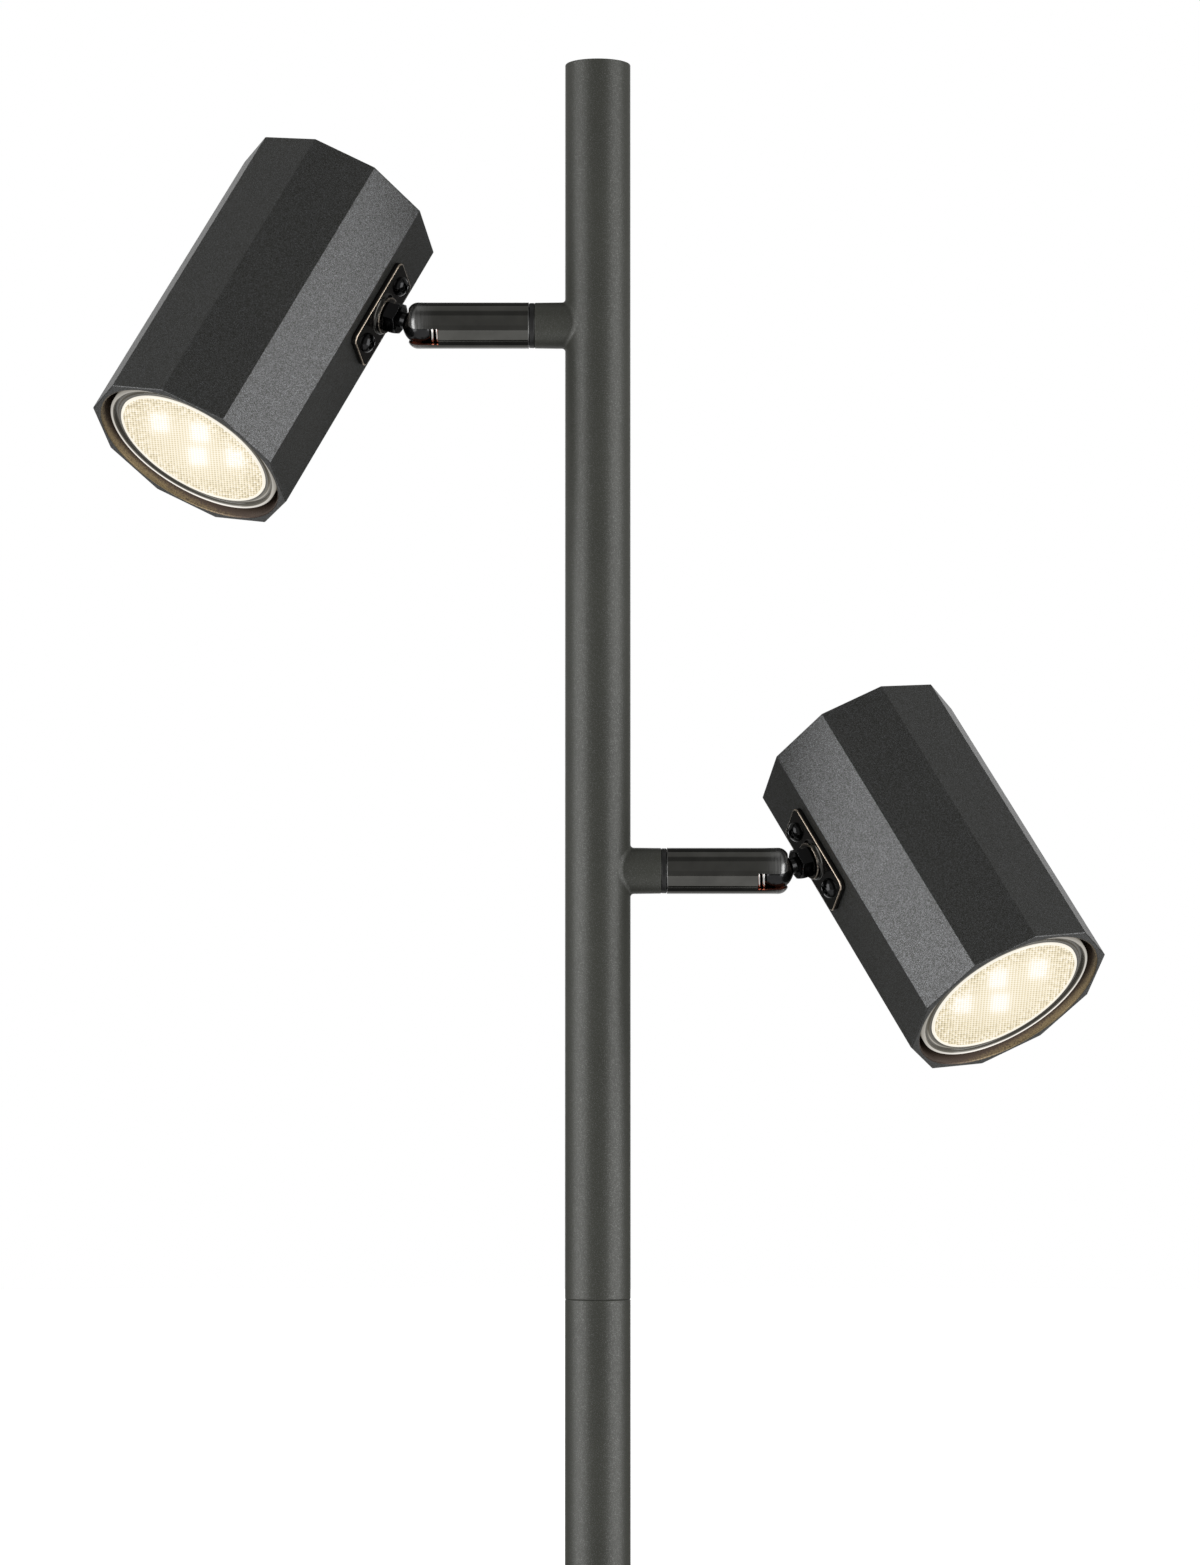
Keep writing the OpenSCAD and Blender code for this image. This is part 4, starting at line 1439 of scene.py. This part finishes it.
@dataclass
class Lamp(Assembly):
    """Reflector lamp: stepped clear front ring, body and lit prism lens."""

    limb: Limb
    recess: float = 1.8
    length: float = 55.8
    radius: float = 25.4
    ring_h: float = 5.0
    neck_r: float = 14.0
    neck_len: float = 12.0
    lens_r: float = 22.2
    lens_t: float = 2.0
    lens_gap: float = 0.05
    lens_drop: float = 0.45
    ledge: float = 1.5
    cavity: float = 9.0
    prism: float = 1.1
    prism_h: float = 0.3
    border: float = 0.7
    border_edges: tuple[float, ...] = (0.25, 0.3, 0.1, 0.1)
    border_tone: float = 0.8
    back_tone: float = 0.3
    row_heading: float = -20.0
    column_heading: float = -77.0
    spot_size: tuple[float, float] = (3.4, 4.9)
    spot_light: float = 0.62
    halo_size: tuple[float, float] = (8.0, 8.0)
    halo_light: float = 0.13
    spots: tuple[tuple[float, float], ...] = ((-0.6, -3.3), (8.2, 8.7), (-5.0, 9.9), (-14.1, 2.0))
    plain_tone: float = 0.44
    glow_tone: float = 0.62
    edge_fall: float = 0.08
    prism_tone: float = 0.42
    edge_prism_tone: float = 0.14
    sparkle_tone: float = 0.60
    sparkle_rule: tuple[float, float, float] = (12.9898, 78.233, 43758.5453)
    lip_w: float = 0.75
    # Angles and shares of the painted highlights on the ring's lip and groove.
    lip_light: float = -65.0
    lip_share: tuple[float, float, float] = (0.55, 0.45, 3.0)
    groove_light: float = -125.0
    groove_share: tuple[float, float, float] = (0.7, 1.0, 6.0)

    def housing(self) -> Shell:
        """Body and front ring: the lamp's section with rounded steps, carried round the lamp's axis.

        Each row of the table is a corner's place and radius, its rounding, its tone and whether it is in
        the groove. The tone sets the ring's own glow, the lamp's light in the clear plastic with painted
        highlights: it is the corner's own, times a share that follows a power of the raised cosine of the
        angle from where the lip or the groove catches most light.

        Returns:
            The shell.
        """
        step = (self.radius - self.lens_r) / 3
        seat = self.lens_r + self.lens_gap
        inner = self.lens_r - self.ledge
        table = np.array(
            [
                [self.length, 0.0, 0.0, 0.0, 0],
                [self.length, self.neck_r, 1.0, 0.0, 0],
                [self.length - self.neck_len, self.neck_r, 1.0, 0.0, 0],
                [self.ring_h, self.radius, 0.5, 0.1, 0],
                [0.0, self.radius, 0.35, 1.1, 0],
                [0.0, self.radius - self.lip_w, 0.0, 1.1, 0],
                [0.25, self.radius - step, 0.2, 0.18, 1],
                [1.0, self.radius - step, 0.3, 0.1, 1],
                [1.0, self.radius - 2 * step, 0.25, 0.42, 1],
                [0.5, self.radius - 2 * step, 0.2, 0.35, 1],
                [0.5, seat, 0.2, 0.1, 0],
                [self.lens_t, seat, 0.1, 0.0, 0],
                [self.lens_t, inner, 0.1, 0.5, 0],
                [self.cavity, inner, 0.2, 0.3, 0],
                [self.cavity, 0.0, 0.0, 0.3, 0],
            ]
        )
        profile = rounded(table[:, :2], table[:, 2])
        profile[:, 0] += self.recess
        about = self.limb.flip * (circle(RING_COUNT) + QUARTER)
        # Painted highlights: each grows towards the angle where the lip or the groove catches most light.
        lip, groove = (
            least + more * raised(about, middle, power)
            for middle, (least, more, power) in (
                (self.lip_light, self.lip_share),
                (self.groove_light, self.groove_share),
            )
        )
        tone = table[:, 3:4] * np.where(table[:, 4:] > 0, groove, lip)
        return revolve(profile, RING_COUNT, np.repeat(tone, ARC_STEPS, 0), closed=False)

    def basis(self) -> Array:
        """Directions of the lens's rows and columns of prisms, as the columns of a matrix."""
        headings = np.radians([self.row_heading, self.column_heading])
        return np.stack([np.cos(headings), np.sin(headings)])

    def glow(self, x: Array, y: Array) -> Array:
        """Light of the lamps behind the lens: a soft-edged parallelogram with a halo for each, summed.

        A place is split into shares of the spot's size along the rows and the columns of prisms. The spot
        is the product of 1 over 1 plus each share to the sixth power, and the halo that of wider shares
        squared.

        Args:
            x: Place across the lens.
            y: Place across the lens.

        Returns:
            The light, near 1 in the middle of a spot.
        """
        offset = np.stack([x, self.limb.flip * y], -1)[..., None, :] - np.asarray(self.spots)
        along = offset @ np.linalg.inv(self.basis()).T
        core = 1 / (1 + (along / np.asarray(self.spot_size)) ** 6)
        halo = 1 / (1 + (along / np.asarray(self.halo_size)) ** 2)
        return self.spot_light * core.prod(-1).sum(-1) + self.halo_light * halo.prod(-1).sum(-1)

    def prisms(self) -> Shell:
        """The lens's disc of small pyramids.

        A skew grid has two cells a pyramid, and its odd points are raised. Points past the disc's edge
        are drawn in to the edge, quads that lie wholly on it are left out, and a flat copy behind closes
        the disc. The tone is the light behind the lens, lighter on peaks than in valleys, with a sparkle
        that grows to the edge: the broken part of a large sine of each pyramid's row and column.

        Returns:
            The shell.
        """
        reach = self.lens_r - self.border / 2
        count = 2 * int(math.ceil(1.25 * reach / self.prism)) + 2
        number = np.arange(2 * count + 1)
        line = (number - count) * self.prism / 2
        x, y = np.moveaxis(np.stack(np.meshgrid(line, line, indexing="ij"), -1) @ self.basis().T, -1, 0)
        y = self.limb.flip * y
        odd = number % 2 == 1
        peak, valley = np.outer(odd, odd), np.outer(~odd, ~odd)
        distance = np.hypot(x, y)
        past = distance >= reach
        pull = np.where(past, reach / np.maximum(distance, 1e-9), 1.0)
        x, y = x * pull, y * pull
        out = np.hypot(x, y) / reach
        by_row, by_column, large = self.sparkle_rule
        wave = np.sin(by_row * (number // 2)[:, None] + by_column * (number // 2))
        sparkle = np.modf(np.abs(wave) * large)[0] - 0.5
        tone = self.plain_tone + self.glow_tone * self.glow(x, y) - self.edge_fall * out**4
        tone += (self.prism_tone + self.edge_prism_tone * out**3) * (1.0 * peak - valley)
        tone += self.sparkle_tone * out**3 * sparkle
        front = np.stack([x, y, self.recess + self.lens_drop - self.prism_h * (peak & ~past)], -1)
        back = np.stack([x, y, np.full_like(x, self.recess + self.lens_t)], -1)
        disc = grid(front, closed_cols=False, tone=tone)
        rear = grid(back, closed_cols=False, tone=self.back_tone)
        quads = disc.quads[~past.reshape(-1)[disc.quads].all(1)]
        edges = np.sort(np.stack([quads, np.roll(quads, -1, 1)], -1).reshape(-1, 2), 1)
        sides, uses = np.unique(edges, axis=0, return_counts=True)
        rim = sides[uses == 1]
        total = len(disc.points)
        wall = np.concatenate([rim, rim[:, ::-1] + total], 1)
        return Shell(
            np.concatenate([disc.points, rear.points]),
            np.concatenate([quads, quads + total, wall]),
            np.concatenate([disc.tone, rear.tone]),
        )

    def lens_border(self) -> Shell:
        """The lens's smooth border: a rounded rectangle carried round the lamp's axis.

        Returns:
            The shell.
        """
        span = (self.recess + self.lens_gap, self.recess + self.lens_t)
        radii = (self.lens_r - self.border, self.lens_r)
        ring = hoop(span, radii, self.border_edges, RING_COUNT, self.border_tone)
        ring.points = ring.points @ UPRIGHT.T
        return ring

    def pieces(self) -> list[Piece]:
        """The body and the lens.

        Returns:
            The pieces.
        """
        limb = self.limb
        body = limb.rider("lamp_body", Part.HEAD, "lamp_housing", "lamp_plastic")
        lens = limb.rider("lens", Part.HEAD, "lamp_lens", "lens_glass")
        return [
            (body, [self.housing()], limb.lamp.inside(UPRIGHT)),
            (lens, [self.prisms(), self.lens_border()], limb.lamp),
        ]


# Studio


@dataclass(frozen=True)
class Flag:
    """Part of a dome round the lamp that only reflections see.

    Angles are in degrees: half_width to each side of facing, the azimuth from the front, and from low to
    high above the horizon. Level is its brightness, and share that of the tent's radius.
    """

    name: str
    half_width: float
    low: float
    high: float
    level: float
    facing: float = 0.0
    share: float = 1.0


FLAGS = (
    Flag("tent", 158.0, -6.0, 90.0, 0.28),
    Flag("front_skirt", 75.0, -31.0, -6.0, 0.24),
    Flag("side_skirt_-117", 42.0, -31.0, 0.0, 0.09, -117.0, 0.97),
    Flag("side_skirt_117", 42.0, -31.0, 0.0, 0.09, 117.0, 0.97),
    Flag("front_flag", 60.0, 44.0, 69.0, 0.15, 0.0, 0.94),
    Flag("top_flag", 180.0, 74.0, 90.0, 0.36, 0.0, 0.94),
    Flag("back_flag", 30.0, 28.0, 74.0, 0.08, 180.0, 0.94),
)


@dataclass
class Studio:
    """Pale floor, two soft boxes, a tent of grey sheets that only reflections see, and the camera."""

    floor_rings: tuple[float, ...] = (0.0, 0.5, 2.0, 30.0)
    floor_shades: tuple[Colour, Colour] = ((0.60, 0.60, 0.595), (0.64, 0.64, 0.635))
    floor_cloud_mm: float = 400.0
    floor_roughness: float = 0.7
    floor_lift: tuple[float, float] = (0.52, 0.95)
    floor_lift_at: tuple[float, float] = (0.3, 1.8)
    gloss_lift: float = 0.5
    tent_r: float = 2.3
    tent_z: float = 1.25
    sheet_colour: Colour = (1.0, 1.0, 0.98)
    sheet_half: float = 0.9
    sheet_z: float = 0.012
    sheets: tuple[tuple[str, float, float, float], ...] = (
        ("floor_flag", 0.15, 0.9, 0.08),
        ("far_flag", 0.9, 2.2, 0.40),
    )
    box_azimuth: float = 66.0
    box_distance: float = 1.1
    box_size: tuple[float, float] = (1.05, 1.2)
    box_z: float = 1.15
    box_rise: float = 0.2
    box_power: float = 10.2
    ambient: float = 0.35
    lens_mm: float = 36.0 * 5000.0 / 1565.0
    camera_at: tuple[float, float, float] = (0.0006, -1.3730, 1.0963)
    camera_pitch: float = 2.0
    camera_shift: float = 0.10

    def plain_mesh(self, name: str, shell: Shell, material: bpy.types.Material) -> bpy.types.Object:
        """Makes a stage object.

        Args:
            name: Its name.
            shell: Its surface, with the points in metres.
            material: Its material.

        Returns:
            The object.
        """
        points, faces, _, _ = weld([Shell(shell.points / MM, shell.quads, shell.tone)])
        mesh = bpy.data.meshes.new(name)
        mesh.from_pydata((points * MM).tolist(), [], faces)
        mesh.materials.append(material)
        mesh.shade_smooth()
        thing = bpy.data.objects.new(name, mesh)
        bpy.context.scene.collection.objects.link(thing)
        return thing

    def floor(self) -> None:
        """A pale round floor: rings of growing radius at height 0.

        A glow lifts it towards white for the camera, and in part for gloss. It lights nothing else, and
        the floor keeps the lamp's shadow.
        """
        nodes = material_nodes("floor_paint")
        cloud = nodes.spread(nodes.noise(self.floor_cloud_mm, 2.0), 0.0, 1.0)
        far = nodes.add("ShaderNodeVectorMath", {0: nodes.place()}, operation="LENGTH").outputs["Value"]
        path = nodes.add("ShaderNodeLightPath").outputs
        gloss = nodes.math("MULTIPLY", path["Is Glossy Ray"], self.gloss_lift)
        seen = nodes.math("MAXIMUM", path["Is Camera Ray"], gloss)
        lift = nodes.spread(far, *self.floor_lift, *self.floor_lift_at)
        material = nodes.finish(
            {
                "Base Color": nodes.mixed(cloud, *self.floor_shades),
                "Roughness": self.floor_roughness,
                "Emission Color": opaque(WHITE),
                "Emission Strength": nodes.math("MULTIPLY", seen, lift),
            }
        )
        material.cycles.emission_sampling = "NONE"
        angle = circle(64)
        radius = np.array(self.floor_rings)[:, None]
        points = swept(0 * radius, radius, np.cos(angle), np.sin(angle))[..., [1, 2, 0]]
        self.plain_mesh("floor", grid(points), material)

    def sheet(self, name: str, points: Array, level: float) -> None:
        """A sheet of one brightness that only reflections see.

        Args:
            name: Its name.
            points: Rows by columns by 3, in metres.
            level: Its brightness.
        """
        nodes = material_nodes(name)
        glow = nodes.add("ShaderNodeEmission", {"Color": opaque(self.sheet_colour), "Strength": level})
        nodes.add("ShaderNodeOutputMaterial", {"Surface": glow.outputs["Emission"]})
        nodes.owner.cycles.emission_sampling = "NONE"
        thing = self.plain_mesh(name, grid(points, closed_cols=False), nodes.owner)
        thing.visible_camera = thing.visible_diffuse = False
        thing.visible_shadow = thing.visible_transmission = False

    def dome(self, flag: Flag) -> Array:
        """Points of a flag: azimuth and rise on a sphere round the tent's middle.

        Args:
            flag: The part of the dome.

        Returns:
            Rows by columns by 3.
        """
        radius = flag.share * self.tent_r
        side = np.radians(flag.facing + np.linspace(-flag.half_width, flag.half_width, 65))
        rise = np.radians(np.linspace(flag.low, flag.high, 33))[:, None]
        flat = radius * np.cos(rise)
        up = self.tent_z + radius * np.sin(rise)
        return np.stack([flat * np.sin(side), -flat * np.cos(side), up + 0 * side], -1)

    def tent(self) -> None:
        """Grey sheets on a dome round the lamp, and two flat ones on the floor behind it."""
        for flag in FLAGS:
            self.sheet(flag.name, self.dome(flag), flag.level)
        for name, near, far, level in self.sheets:
            width = np.linspace(-self.sheet_half, self.sheet_half, 9)
            side, deep = np.meshgrid(width, np.linspace(near, far, 5))
            self.sheet(name, np.stack([side, deep, 0 * side + self.sheet_z], -1), level)

    def soft_box(self, sign: int) -> None:
        """Adds one soft box, which faces a point a little above its own height on the pole's axis.

        Args:
            sign: -1 for the left one and 1 for the right one.
        """
        light = bpy.data.lights.new(f"soft_box_{sign}", "AREA")
        light.shape = "RECTANGLE"
        light.size, light.size_y = self.box_size
        light.energy = self.box_power
        turn, away = math.radians(sign * self.box_azimuth), self.box_distance
        box = bpy.data.objects.new(light.name, light)
        box.location = (away * math.sin(turn), -away * math.cos(turn), self.box_z)
        box.rotation_euler = (QUARTER + math.atan2(self.box_rise, away), 0.0, turn)
        box.visible_camera = False
        bpy.context.scene.collection.objects.link(box)

    def world(self) -> None:
        """White to the camera, to gloss and to glass, and a soft level for everything else."""
        world = bpy.data.worlds.new("studio")
        bpy.context.scene.world = world
        nodes = NodeTable(world)
        path = nodes.add("ShaderNodeLightPath").outputs
        seen = nodes.math("MAXIMUM", path["Is Camera Ray"], path["Is Glossy Ray"])
        seen = nodes.math("MAXIMUM", seen, path["Is Transmission Ray"])
        level = nodes.spread(seen, self.ambient, 1.0, 0.0, 1.0)
        sky = nodes.add("ShaderNodeBackground", {"Color": opaque(WHITE), "Strength": level})
        nodes.add("ShaderNodeOutputWorld", {"Surface": sky.outputs["Background"]})

    def camera(self) -> None:
        """A long lens below the heads, almost level, with its frame shifted up."""
        data = bpy.data.cameras.new("camera")
        data.lens = self.lens_mm
        data.shift_y = self.camera_shift
        camera = bpy.data.objects.new("camera", data)
        camera.location = self.camera_at
        camera.rotation_euler = (math.radians(90 + self.camera_pitch), 0.0, 0.0)
        bpy.context.scene.collection.objects.link(camera)
        bpy.context.scene.camera = camera

    def build(self) -> None:
        """Sets up the whole studio."""
        bpy.context.scene.view_settings.view_transform = "Standard"
        self.camera()
        self.world()
        self.floor()
        self.tent()
        for sign in (-1, 1):
            self.soft_box(sign)


def main() -> None:
    """Builds the studio and every sub-assembly in order."""
    logging.basicConfig(level=logging.INFO, format="%(message)s")
    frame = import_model()
    Studio().build()
    finishes = Finishes()
    finishes.dress_solids(frame)
    Pole().build(finishes)
    Base().build(finishes)
    for side in Side:
        limb = limb_from_joints(frame["joints"], side)
        for part in (Arm, Stud, Bracket, Head, Lamp):
            part(limb).build(finishes)


if __name__ == "__main__":
    main()
